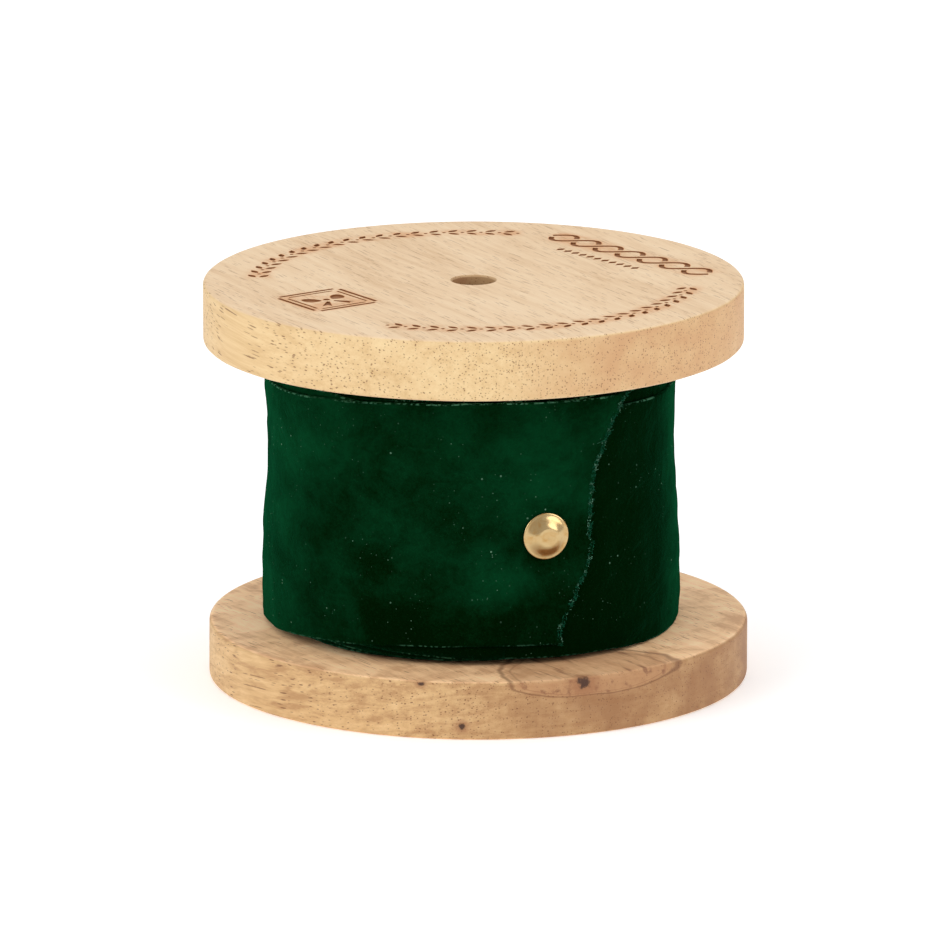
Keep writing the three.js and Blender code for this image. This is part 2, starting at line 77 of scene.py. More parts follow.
class Body(Enum):
    """Rigid bodies of the frame."""

    SPOOL = "spool"
    TACK = "tack"


class Shading(Enum):
    """How a finished mesh is shaded."""

    SMOOTH = 180.0
    EASED = 35.0
    CRISP = 24.0


def srgb(red: int, green: int, blue: int) -> Colour:
    """Turns a colour of 0 to 255 values into scene-linear numbers.

    Args:
        red: Red value.
        green: Green value.
        blue: Blue value.

    Returns:
        The scene-linear colour.
    """
    values = []
    for value in (red, green, blue):
        share = value / 255.0
        values.append(share / 12.92 if share <= 0.04045 else ((share + 0.055) / 1.055) ** 2.4)
    return values[0], values[1], values[2]


def smooth(low: float, high: float, value: float) -> float:
    """Eases from 0 to 1 between two values.

    Args:
        low: Value where the result is 0.
        high: Value where the result is 1.
        value: Value to ease.

    Returns:
        The eased share.
    """
    share = min(1.0, max(0.0, (value - low) / (high - low)))
    return share * share * (3.0 - 2.0 * share)


def wander(place: Sequence[float], scale: float, seed: float = 0.0) -> float:
    """Smooth noise of about -1 to 1 at a place.

    Args:
        place: Point in millimetres.
        scale: Size of the lumps in millimetres.
        seed: Offset that gives another pattern.

    Returns:
        The noise value.
    """
    point = Vector([value / scale for value in place]) + Vector((seed, seed * 1.7, -seed))
    return noise.noise(point)


@dataclass(frozen=True)
class Ease:
    """An amount that sets in smoothly.

    Args:
        amount: The full amount.
        low: Value where it is nothing.
        high: Value where it is full.
    """

    amount: float
    low: float
    high: float

    def at(self, value: float) -> float:
        """The amount at a value."""
        return self.amount * smooth(self.low, self.high, value)


@dataclass(frozen=True)
class Lumps:
    """Smooth unevenness.

    Args:
        amount: Its height.
        size: Size of the lumps in millimetres.
        seed: Offset that gives another pattern.
    """

    amount: float
    size: float
    seed: float

    def at(self, point: Sequence[float]) -> float:
        """The unevenness at a point."""
        return self.amount * wander(point, self.size, self.seed)


class MeshMaker:
    """Turns bmesh work into finished pieces of the object."""

    @staticmethod
    def piece(
        name: str,
        mesh_data: bmesh.types.BMesh,
        materials: Sequence[bpy.types.Material],
        body: Body,
        shading: Shading = Shading.EASED,
    ) -> Piece:
        """Makes a named object from a bmesh and lets it ride on a body.

        Args:
            name: Piece name.
            mesh_data: The finished bmesh, which is freed.
            materials: Materials in slot order.
            body: Body that the piece moves with.
            shading: How its faces are shaded.

        Returns:
            The new object.
        """
        mesh = bpy.data.meshes.new(name)
        mesh_data.to_mesh(mesh)
        mesh_data.free()
        for polygon in mesh.polygons:
            polygon.use_smooth = True
        if shading is not Shading.SMOOTH:
            mesh.set_sharp_from_angle(angle=math.radians(shading.value))
        for material in materials:
            mesh.materials.append(material)
        made = bpy.data.objects.new(name, mesh)
        bpy.context.scene.collection.objects.link(made)
        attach(made, body.value)
        LOG.info("%s: %d faces", name, len(mesh.polygons))
        return made

    @staticmethod
    def chain(
        mesh_data: bmesh.types.BMesh, points: Iterable[Sequence[float]], closed: bool
    ) -> list[bmesh.types.BMEdge]:
        """Adds a chain of edges through points.

        Args:
            mesh_data: Bmesh to add to.
            points: Points of the chain.
            closed: Whether the last point joins the first.

        Returns:
            The new edges in order.
        """
        verts = [mesh_data.verts.new(point) for point in points]
        pairs = list(zip(verts, verts[1:]))
        if closed:
            pairs.append((verts[-1], verts[0]))
        return [mesh_data.edges.new(pair) for pair in pairs]

    @staticmethod
    def turn(
        points: Iterable[Sequence[float]], steps: int, closed: bool = True
    ) -> bmesh.types.BMesh:
        """Spins a profile in the XZ plane round the Z axis.

        Args:
            points: Profile points as (radius, height).
            steps: Number of steps in the full turn.
            closed: Whether the profile is a closed loop.

        Returns:
            A bmesh of the turned surface.
        """
        made = bmesh.new()
        edges = MeshMaker.chain(made, [(r, 0.0, z) for r, z in points], closed)
        verts = list(dict.fromkeys(vert for edge in edges for vert in edge.verts))
        bmesh.ops.spin(
            made,
            geom=verts + edges,
            cent=(0.0, 0.0, 0.0),
            axis=(0.0, 0.0, 1.0),
            dvec=(0.0, 0.0, 0.0),
            angle=TAU,
            steps=steps,
            use_merge=True,
            use_duplicate=False,
        )
        bmesh.ops.remove_doubles(made, verts=made.verts, dist=1e-6)
        bmesh.ops.recalc_face_normals(made, faces=made.faces)
        return made

    @staticmethod
    def round_edges(
        mesh_data: bmesh.types.BMesh,
        chosen: Callable[[bmesh.types.BMEdge], bool],
        width: float,
        segments: int,
    ) -> None:
        """Rounds the chosen edges.

        Args:
            mesh_data: Bmesh to change.
            chosen: Test that picks the edges.
            width: Size of the rounding.
            segments: Number of facets across it.
        """
        edges = [edge for edge in mesh_data.edges if chosen(edge)]
        bmesh.ops.bevel(
            mesh_data,
            geom=edges,
            offset=width,
            offset_type="OFFSET",
            affect="EDGES",
            segments=segments,
            profile=0.5,
            material=-1,
            clamp_overlap=True,
        )


class NodeBench:
    """Short ways to lay out a material's nodes."""

    def __init__(self, name: str) -> None:
        """Starts an empty material.

        Args:
            name: Material name.
        """
        self.material = bpy.data.materials.new(name)
        self.material.use_nodes = True
        self.tree = self.material.node_tree
        self.tree.nodes.clear()
        self.output = self.tree.nodes.new("ShaderNodeOutputMaterial")
        self.shader = self.tree.nodes.new("ShaderNodeBsdfPrincipled")
        self.join(self.shader.outputs["BSDF"], self.output.inputs["Surface"])

    def join(self, source: Socket, target: Socket) -> None:
        """Links two sockets."""
        self.tree.links.new(source, target)

    def feed(self, value: object, target: Socket) -> None:
        """Links a socket to the target, or sets the target's value.

        Args:
            value: Socket, number, vector or colour.
            target: Input socket.
        """
        if isinstance(value, Socket):
            self.join(value, target)
        elif isinstance(value, tuple) and len(value) == 3 and target.type == "RGBA":
            target.default_value = (*value, 1.0)
        else:
            target.default_value = value

    def set_shader(self, **values: object) -> None:
        """Sets or links the shader's sockets, named with underscores for spaces."""
        for key, value in values.items():
            self.feed(value, self.shader.inputs[key.replace("_", " ")])

    def place(self) -> Socket:
        """Object coordinates of the piece."""
        return self.tree.nodes.new("ShaderNodeTexCoord").outputs["Object"]

    def normal(self) -> Socket:
        """The piece's own surface direction."""
        return self.tree.nodes.new("ShaderNodeTexCoord").outputs["Normal"]

    def strip(self, name: str) -> Socket:
        """The piece's own UV map.

        Args:
            name: Name of the map.

        Returns:
            Its coordinates.
        """
        node = self.tree.nodes.new("ShaderNodeUVMap")
        node.uv_map = name
        return node.outputs["UV"]

    def painted(self, name: str) -> Socket:
        """The piece's own number attribute.

        Args:
            name: Name of the attribute.

        Returns:
            Its value.
        """
        node = self.tree.nodes.new("ShaderNodeAttribute")
        node.attribute_name = name
        return node.outputs["Fac"]

    def mapping(
        self,
        vector: Socket,
        scale: Sequence[float] = (1.0, 1.0, 1.0),
        turn: float = 0.0,
        shift: Sequence[float] = (0.0, 0.0, 0.0),
        dip: float = 0.0,
    ) -> Socket:
        """Scales, turns and shifts a vector.

        Args:
            vector: Vector to change.
            scale: Scale of each axis.
            turn: Turn about Z in degrees.
            shift: Shift after scale and turn.
            dip: Turn about Y in degrees, before the turn about Z.

        Returns:
            The changed vector.
        """
        node = self.tree.nodes.new("ShaderNodeMapping")
        node.vector_type = "POINT"
        node.inputs["Scale"].default_value = scale
        node.inputs["Rotation"].default_value = (0.0, math.radians(dip), math.radians(turn))
        node.inputs["Location"].default_value = shift
        self.join(vector, node.inputs["Vector"])
        return node.outputs["Vector"]

    def cloud(
        self,
        vector: Socket,
        scale: float,
        detail: float = 2.0,
        rough: float = 0.5,
        warp: float = 0.0,
    ) -> Socket:
        """Noise value of about 0 to 1.

        Args:
            vector: Where to read it.
            scale: Lumps for each unit.
            detail: Number of finer layers.
            rough: Strength of the finer layers.
            warp: How far the pattern is twisted.

        Returns:
            The noise factor.
        """
        node = self.tree.nodes.new("ShaderNodeTexNoise")
        node.inputs["Scale"].default_value = scale
        node.inputs["Detail"].default_value = detail
        node.inputs["Roughness"].default_value = rough
        node.inputs["Distortion"].default_value = warp
        self.join(vector, node.inputs["Vector"])
        return node.outputs["Fac"]

    def cells(
        self, vector: Socket, scale: float, flat: bool = False
    ) -> tuple[Socket, Socket]:
        """Distance to the nearest of many scattered points, and that point's own number.

        Args:
            vector: Where to read it.
            scale: Points for each unit.
            flat: Whether the third axis is left out.

        Returns:
            Distance, and a number of 0 to 1 that belongs to the point.
        """
        node = self.tree.nodes.new("ShaderNodeTexVoronoi")
        node.voronoi_dimensions = "2D" if flat else "3D"
        node.inputs["Scale"].default_value = scale
        self.join(vector, node.inputs["Vector"])
        return node.outputs["Distance"], self.split(node.outputs["Color"])[0]

    def facing(self, angle: float) -> Socket:
        """How far the surface faces a direction in plan.

        Args:
            angle: Degrees from the front towards +X.

        Returns:
            1 where it faces it squarely and -1 where it faces away.
        """
        node = self.tree.nodes.new("ShaderNodeVectorMath")
        node.operation = "DOT_PRODUCT"
        turn = math.radians(angle)
        self.join(self.normal(), node.inputs[0])
        node.inputs[1].default_value = (math.sin(turn), -math.cos(turn), 0.0)
        return node.outputs["Value"]

    def level(self) -> Socket:
        """How far the surface lies level, of 0 on a rim to 1 on a flat face."""
        return self.step(self.sums("ABSOLUTE", self.split(self.normal())[2]), 0.6, 0.96)

    def drifted(
        self, vector: Socket, scale: Sequence[float], reach: float
    ) -> Socket:
        """Moves a vector about by smooth noise.

        Args:
            vector: Vector to move.
            scale: Noise scale of each axis.
            reach: How far it moves.

        Returns:
            The moved vector.
        """
        node = self.tree.nodes.new("ShaderNodeTexNoise")
        node.inputs["Scale"].default_value = 1.0
        node.inputs["Detail"].default_value = 2.0
        self.join(self.mapping(vector, scale), node.inputs["Vector"])
        move = self.tree.nodes.new("ShaderNodeVectorMath")
        move.operation = "MULTIPLY_ADD"
        self.join(node.outputs["Color"], move.inputs[0])
        move.inputs[1].default_value = (reach, reach, reach)
        self.join(vector, move.inputs[2])
        return move.outputs["Vector"]

    def sums(self, operation: str, *values: object) -> Socket:
        """Result of a math node.

        Args:
            operation: Blender's name of the operation.
            *values: One to three values.

        Returns:
            The result.
        """
        node = self.tree.nodes.new("ShaderNodeMath")
        node.operation = operation
        for value, target in zip(values, node.inputs):
            self.feed(value, target)
        return node.outputs["Value"]

    def vector_length(self, vector: Socket) -> Socket:
        """Length of a vector.

        Args:
            vector: The vector.

        Returns:
            Its length.
        """
        node = self.tree.nodes.new("ShaderNodeVectorMath")
        node.operation = "LENGTH"
        self.join(vector, node.inputs[0])
        return node.outputs["Value"]

    def split(self, vector: Socket) -> tuple[Socket, ...]:
        """Takes a vector apart.

        Args:
            vector: The vector.

        Returns:
            Its X, Y and Z.
        """
        node = self.tree.nodes.new("ShaderNodeSeparateXYZ")
        self.join(vector, node.inputs[0])
        return tuple(node.outputs)

    def gather(self, x: object, y: object, z: object) -> Socket:
        """Makes a vector from three values.

        Args:
            x: Its X.
            y: Its Y.
            z: Its Z.

        Returns:
            The vector.
        """
        node = self.tree.nodes.new("ShaderNodeCombineXYZ")
        for value, target in zip((x, y, z), node.inputs):
            self.feed(value, target)
        return node.outputs["Vector"]

    def step(
        self, value: Socket, low: float, high: float, rising: bool = True
    ) -> Socket:
        """Eases a value to the range 0 to 1 between two limits.

        Args:
            value: Value to ease.
            low: Lower limit.
            high: Upper limit.
            rising: False gives 1 at the lower limit and 0 at the upper.

        Returns:
            The eased value.
        """
        node = self.tree.nodes.new("ShaderNodeMapRange")
        node.interpolation_type = "SMOOTHSTEP"
        node.inputs["From Min"].default_value = low
        node.inputs["From Max"].default_value = high
        node.inputs["To Min"].default_value = 0.0 if rising else 1.0
        node.inputs["To Max"].default_value = 1.0 if rising else 0.0
        self.join(value, node.inputs["Value"])
        return node.outputs["Result"]

    def blend(
        self, share: object, first: object, second: object, mode: str = "MIX"
    ) -> Socket:
        """Mixes two colours.

        Args:
            share: 0 gives the first colour and 1 the second.
            first: First colour.
            second: Second colour.
            mode: Blend type; "MULTIPLY" tints the first colour by the second.

        Returns:
            The mixed colour.
        """
        node = self.tree.nodes.new("ShaderNodeMix")
        node.data_type = "RGBA"
        node.blend_type = mode
        colour_sockets = node.inputs[6], node.inputs[7]
        for value, target in zip((share, first, second), (node.inputs[0], *colour_sockets)):
            self.feed(value, target)
        return node.outputs[2]

    def ramp(
        self, value: Socket, stops: Sequence[tuple[float, Colour]]
    ) -> Socket:
        """Colour from a value along a row of stops.

        Args:
            value: Value of 0 to 1.
            stops: Place and colour of each stop.

        Returns:
            The colour.
        """
        node = self.tree.nodes.new("ShaderNodeValToRGB")
        row = node.color_ramp.elements
        while len(row) < len(stops):
            row.new(0.5)
        for element, (where, colour) in zip(row, stops):
            element.position = where
            element.color = (*colour, 1.0)
        self.join(value, node.inputs["Fac"])
        return node.outputs["Color"]

    def bump(
        self,
        height: Socket,
        depth: float,
        strength: float = 1.0,
        under: Socket | None = None,
    ) -> Socket:
        """Normal from a height.

        Args:
            height: Height of 0 to 1.
            depth: Depth in metres that a height of 1 stands for.
            strength: How strongly it shows.
            under: Normal that it is laid over.

        Returns:
            The changed normal.
        """
        node = self.tree.nodes.new("ShaderNodeBump")
        node.inputs["Strength"].default_value = strength
        node.inputs["Distance"].default_value = depth
        self.join(height, node.inputs["Height"])
        if under is not None:
            self.join(under, node.inputs["Normal"])
        return node.outputs["Normal"]


@dataclass(frozen=True)
class Ornament:
    """Burnt ornament of the upper face, as closed outlines in plan, in millimetres.

    It follows the same sizes as the engraving in the solid. The shares are of the garland's
    height. A fade is a pair of distances from a mark where its smoke stain starts and has gone.
    """

    garland_arcs: tuple[Point2, ...] = ((78.0, 178.0), (-113.0, -8.0))
    garland_radius: float = 48.0
    garland_height: float = 5.0
    garland_pitch: float = 4.2
    leaf_length_share: float = 0.58
    leaf_width_share: float = 0.26
    leaf_offset_share: float = 0.27
    leaf_tilt: float = 38.0
    leaf_steps: int = 5
    berry_share: float = 0.08
    berry_steps: int = 8
    plait_length: float = 52.0
    plait_height: float = 7.6
    plait_waves: float = 3.5
    plait_stroke: float = 1.15
    plait_break: float = 1.0
    plait_sample: float = 0.9
    plait_centre: Point2 = (35.0, 25.3)
    plait_turn: float = -49.0
    diamond_half: Point2 = (0.8, 1.3)
    diamond_centre: Point2 = (27.7, 21.2)
    diamond_count: int = 11
    diamond_pitch: float = 2.5
    stamp_centre: Point2 = (-32.2, -19.6)
    stamp_turn: float = 35.0
    stamp_side: float = 17.0
    outer_stroke: float = 0.8
    inner_stroke: float = 0.5
    line_gap: float = 0.9
    corner_gap: float = 0.6
    loop_steps: int = 6
    knot_half: Point2 = (0.7, 0.8)
    knot_rise: float = 0.3
    knot_steps: int = 12
    garland_fade: Point2 = (1.2, 4.6)
    arc_end_fade: Point2 = (-0.03, 0.05)
    box_fade: Point2 = (-1.0, 2.2)

    @staticmethod
    def moved(outline: Iterable[Point2], centre: Point2, turn: float) -> list[Point2]:
        """Turns an outline and moves it.

        Args:
            outline: Points about the origin.
            centre: Where the origin goes.
            turn: Turn in degrees.

        Returns:
            The moved points.
        """
        cosine, sine = math.cos(math.radians(turn)), math.sin(math.radians(turn))
        return [
            (centre[0] + x * cosine - y * sine, centre[1] + x * sine + y * cosine)
            for x, y in outline
        ]

    @staticmethod
    def leaf(length: float, width: float, steps: int) -> list[Point2]:
        """Pointed leaf along X.

        Args:
            length: Length from tip to tip.
            width: Full width in the middle.
            steps: Number of points on each side.

        Returns:
            Its outline, anticlockwise.
        """
        lower = []
        for index in range(steps):
            share = index / steps
            lower.append((-length / 2.0 + length * share, -2.0 * width * share * (1 - share)))
        return lower + [(-x, -y) for x, y in lower]

    @staticmethod
    def ellipse(wide: float, high: float, count: int) -> list[Point2]:
        """Ellipse with the given half sizes, anticlockwise."""
        turns = [TAU * index / count for index in range(count)]
        return [(wide * math.cos(turn), high * math.sin(turn)) for turn in turns]

    @staticmethod
    def polar(radius: float, angle: float) -> Point2:
        """Point at a radius and a plan angle in degrees."""
        return radius * math.cos(math.radians(angle)), radius * math.sin(math.radians(angle))

    def garland(self, start: float, stop: float) -> list[list[Point2]]:
        """Leaf pairs with berries along an arc.

        Args:
            start: Plan angle where it starts.
            stop: Plan angle where it ends.

        Returns:
            The outlines of leaves and berries.
        """
        arc = math.radians(stop - start) * self.garland_radius
        units = round(arc / self.garland_pitch)
        height = self.garland_height
        leaf_size = height * self.leaf_length_share, height * self.leaf_width_share
        berry_radius = height * self.berry_share
        marks = []
        for unit in range(units):
            angle = start + (stop - start) * (unit + 0.5) / units
            for side in (-1.0, 1.0):
                radius = self.garland_radius + side * height * self.leaf_offset_share
                leaf = self.leaf(*leaf_size, self.leaf_steps)
                tilt = angle - 90.0 + side * self.leaf_tilt
                marks.append(self.moved(leaf, self.polar(radius, angle), tilt))
            before = angle - (stop - start) / units / 2.0
            berry = self.ellipse(berry_radius, berry_radius, self.berry_steps)
            marks.append(self.moved(berry, self.polar(self.garland_radius, before), 0.0))
        return marks

    def strand(self, phase: float, start: float, stop: float) -> list[Point2]:
        """One stretch of a plait strand.

        Args:
            phase: 1 for a strand that starts upwards and -1 for its partner.
            start: Place along the plait where it starts.
            stop: Place along the plait where it ends.

        Returns:
            Its outline.
        """
        samples = max(5, round((stop - start) / self.plait_sample))
        height = (self.plait_height - self.plait_stroke) / 2.0
        wave = TAU * self.plait_waves / self.plait_length
        lower, upper = [], []
        for index in range(samples + 1):
            along = start + (stop - start) * index / samples
            x = along - self.plait_length / 2.0
            y = phase * height * math.sin(wave * along)
            slope = phase * height * wave * math.cos(wave * along)
            scale = self.plait_stroke / 2.0 / math.hypot(1.0, slope)
            lower.append((x + slope * scale, y - scale))
            upper.append((x - slope * scale, y + scale))
        return lower + upper[::-1]

    def plait(self) -> list[list[Point2]]:
        """Two strands that pass over and under each other, and the diamonds below them.

        Returns:
            The outlines of the strands' stretches and of the diamonds.
        """
        crossing = self.plait_length / (2.0 * self.plait_waves)
        last = round(2.0 * self.plait_waves)
        marks = []
        for over in range(last + 1):
            start = 0.0 if over == 0 else (over - 1) * crossing + self.plait_break
            stop = self.plait_length if over == last else (over + 1) * crossing - self.plait_break
            strand = self.strand(-1.0 if over % 2 else 1.0, start, stop)
            marks.append(self.moved(strand, self.plait_centre, self.plait_turn))
        wide, high = self.diamond_half
        diamond = [(-wide, 0.0), (0.0, -high), (wide, 0.0), (0.0, high)]
        for index in range(self.diamond_count):
            along = (index - (self.diamond_count - 1) / 2.0) * self.diamond_pitch
            centre = self.moved([(along, 0.0)], self.diamond_centre, self.plait_turn)[0]
            marks.append(self.moved(diamond, centre, self.plait_turn))
        return marks

    def frame(self, side: float, stroke: float) -> list[list[Point2]]:
        """Four bars that draw a square with open corners.

        Args:
            side: Outer side of the square.
            stroke: Width of the bars.

        Returns:
            The outlines of the bars.
        """
        outer = side / 2.0
        inner = outer - stroke
        end = inner - self.corner_gap
        bar = [(-end, inner), (end, inner), (end, outer), (-end, outer)]
        return [self.moved(bar, (0.0, 0.0), 90.0 * quarter) for quarter in range(4)]

    @staticmethod
    def curve(corners: Sequence[Point2], steps: int) -> list[Point2]:
        """Points along a cubic curve, without its last.

        Args:
            corners: Its four control points.
            steps: Number of points.

        Returns:
            The points.
        """
        found = []
        for index in range(steps):
            t = index / steps
            weights = ((1 - t) ** 3, 3 * t * (1 - t) ** 2, 3 * t * t * (1 - t), t**3)
            x, y = (sum(w * c[axis] for w, c in zip(weights, corners)) for axis in (0, 1))
            found.append((x, y))
        return found

    def bow(self) -> list[list[Point2]]:
        """Tied bow.

        Returns:
            Loops, tails and knot, clear of each other.
        """
        upper = self.curve(((1.5, 0.75), (2.6, 3.9), (5.4, 4.2), (5.2, 1.6)), self.loop_steps)
        lower = self.curve(((5.2, 1.6), (5.0, -0.9), (3.0, -0.7), (1.5, -0.1)), self.loop_steps)
        loop = (upper + lower + [(1.5, -0.1)])[::-1]
        tail = [(1.0, -1.3), (0.55, -1.7), (2.4, -5.4), (2.9, -4.3), (4.4, -4.6)]
        marks = [loop, tail]
        marks += [[(-x, y) for x, y in reversed(mark)] for mark in (loop, tail)]
        knot = [(x, y + self.knot_rise) for x, y in self.ellipse(*self.knot_half, self.knot_steps)]
        return [*marks, knot]

    def stamp(self) -> list[list[Point2]]:
        """Double frame with the bow inside.

        Returns:
            The outlines of both frames and the bow.
        """
        inner = self.stamp_side - 2.0 * (self.outer_stroke + self.line_gap)
        marks = self.frame(self.stamp_side, self.outer_stroke)
        marks += self.frame(inner, self.inner_stroke)
        marks += self.bow()
        return [self.moved(mark, self.stamp_centre, self.stamp_turn) for mark in marks]

    def marks(self) -> list[list[Point2]]:
        """Every mark of the face."""
        arcs = [mark for arc in self.garland_arcs for mark in self.garland(*arc)]
        return arcs + self.plait() + self.stamp()

    def glow(self, bench: NodeBench, along: Socket) -> Socket:
        """Smoke stain round the marks, of 0 to 1.

        Args:
            bench: Bench of the material.
            along: Place in millimetres.

        Returns:
            The strength of the stain.
        """
        parts = []
        for start, stop in self.garland_arcs:
            x, y, _ = bench.split(bench.mapping(along, turn=-(start + stop) / 2.0))
            angle = bench.sums("ABSOLUTE", bench.sums("ARCTAN2", y, x))
            half = math.radians(stop - start) / 2.0
            reach = bench.vector_length(bench.gather(x, y, 0.0))
            off = bench.sums("ABSOLUTE", bench.sums("SUBTRACT", reach, self.garland_radius))
            ring = bench.step(off, *self.garland_fade, rising=False)
            near, far = self.arc_end_fade
            ends = bench.step(angle, half + near, half + far, rising=False)
            parts.append(bench.sums("MULTIPLY", ring, ends))
        boxes = (
            (self.plait_centre, self.plait_turn, self.plait_length / 2.0, self.plait_height / 2.0),
            (self.stamp_centre, self.stamp_turn, self.stamp_side / 2.0, self.stamp_side / 2.0),
        )
        near, far = self.box_fade
        for (x, y), turn, long, high in boxes:
            local = bench.mapping(bench.mapping(along, shift=(-x, -y, 0.0)), turn=-turn)
            sides = bench.split(local)[:2]
            fades = [
                bench.step(bench.sums("ABSOLUTE", side), size + near, size + far, rising=False)
                for side, size in zip(sides, (long, high))
            ]
            parts.append(bench.sums("MULTIPLY", *fades))
        total = parts[0]
        for part in parts[1:]:
            total = bench.sums("MAXIMUM", total, part)
        cloudy = bench.step(bench.cloud(along, 0.16, 3.0, 0.6), 0.3, 0.72)
        return bench.sums("MULTIPLY", total, cloudy)


@dataclass(frozen=True)
class Knot:
    """A small dark knot in the wood.

    Args:
        centre: Place in millimetres.
        radius: Radius in millimetres.
        stretch: How much longer it is along X.
        ring: Colour of the brown ring.
        eye: Colour of the dark eye.
    """

    centre: Point3
    radius: float
    stretch: float
    ring: Colour = field(default=srgb(150, 98, 64))
    eye: Colour = field(default=srgb(58, 34, 26))

    def lay(
        self, bench: NodeBench, along: Socket, colour: Socket
    ) -> Socket:
        """Adds the knot to a colour.

        Args:
            bench: Bench of the material.
            along: Place in millimetres.
            colour: Colour under it.

        Returns:
            The changed colour.
        """
        x, y, z = self.centre
        shift = (-x / self.stretch, -y, -z)
        local = bench.mapping(along, (1.0 / self.stretch, 1.0, 1.0), shift=shift)
        ragged = bench.sums("SUBTRACT", bench.cloud(along, 0.9, 3.0, 0.6), 0.5)
        reach = bench.sums("MULTIPLY_ADD", ragged, self.radius * 1.5, bench.vector_length(local))
        ring = bench.step(reach, self.radius * 0.9, self.radius * 2.4, rising=False)
        eye = bench.step(reach, self.radius * 0.45, self.radius, rising=False)
        stained = bench.blend(bench.sums("MULTIPLY", ring, 0.6), colour, self.ring)
        return bench.blend(bench.sums("MULTIPLY", eye, 0.9), stained, self.eye)


@dataclass(frozen=True)
class Heartwood:
    """Patch of heartwood with a dark outline and streaks.

    Args:
        centre: Its middle in millimetres.
        radius: Its radius in millimetres.
        flatten: How much shorter it is up the rim than along it.
        swerve: How far its outline strays, in millimetres.
        echo_share: Share of the radius where a fainter line repeats the outline.
        warm: Colour of its ground.
        streak: Colour of its streaks.
        echo: Colour of the fainter line.
        line: Colour of the outline.
    """

    centre: Point3
    radius: float
    flatten: float = 5.0
    swerve: float = 8.0
    echo_share: float = 0.87
    warm: Colour = field(default=srgb(184, 136, 96))
    streak: Colour = field(default=srgb(124, 78, 54))
    echo: Colour = field(default=srgb(136, 84, 54))
    line: Colour = field(default=srgb(112, 66, 42))

    def lay(
        self,
        bench: NodeBench,
        along: Socket,
        flow: Socket,
        colour: Socket,
    ) -> Socket:
        """Adds the patch to a colour.

        Args:
            bench: Bench of the material.
            along: Place in millimetres.
            flow: Place along the meandering grain.
            colour: Colour under it.

        Returns:
            The changed colour.
        """
        x, y, z = self.centre
        shift = (-x, -y, -self.flatten * z)
        local = bench.mapping(along, (1.0, 1.0, self.flatten), shift=shift)
        lump = bench.drifted(local, (0.07, 0.07, 0.05), self.swerve)
        mean = -self.swerve / 2.0
        reach = bench.vector_length(bench.mapping(lump, shift=(mean, mean, mean)))
        inside = bench.step(reach, self.radius - 2.0, self.radius, rising=False)
        off = bench.sums("ABSOLUTE", bench.sums("SUBTRACT", reach, self.radius))
        outline = bench.step(off, 0.1, 1.0, rising=False)
        echo_radius = self.radius * self.echo_share
        echo = bench.sums("ABSOLUTE", bench.sums("SUBTRACT", reach, echo_radius))
        echo = bench.step(echo, 0.1, 0.6, rising=False)
        streak = bench.cloud(bench.mapping(flow, (0.03, 0.42, 0.42)), 1.0, 4.0, 0.65)
        flame = bench.step(streak, 0.53, 0.68)
        warm = bench.blend(bench.sums("MULTIPLY", inside, 0.5), colour, self.warm)
        share = bench.sums("MULTIPLY", bench.sums("MULTIPLY", flame, inside), 0.7)
        streaked = bench.blend(share, warm, self.streak)
        streaked = bench.blend(bench.sums("MULTIPLY", echo, 0.35), streaked, self.echo)
        return bench.blend(bench.sums("MULTIPLY", outline, 0.6), streaked, self.line)


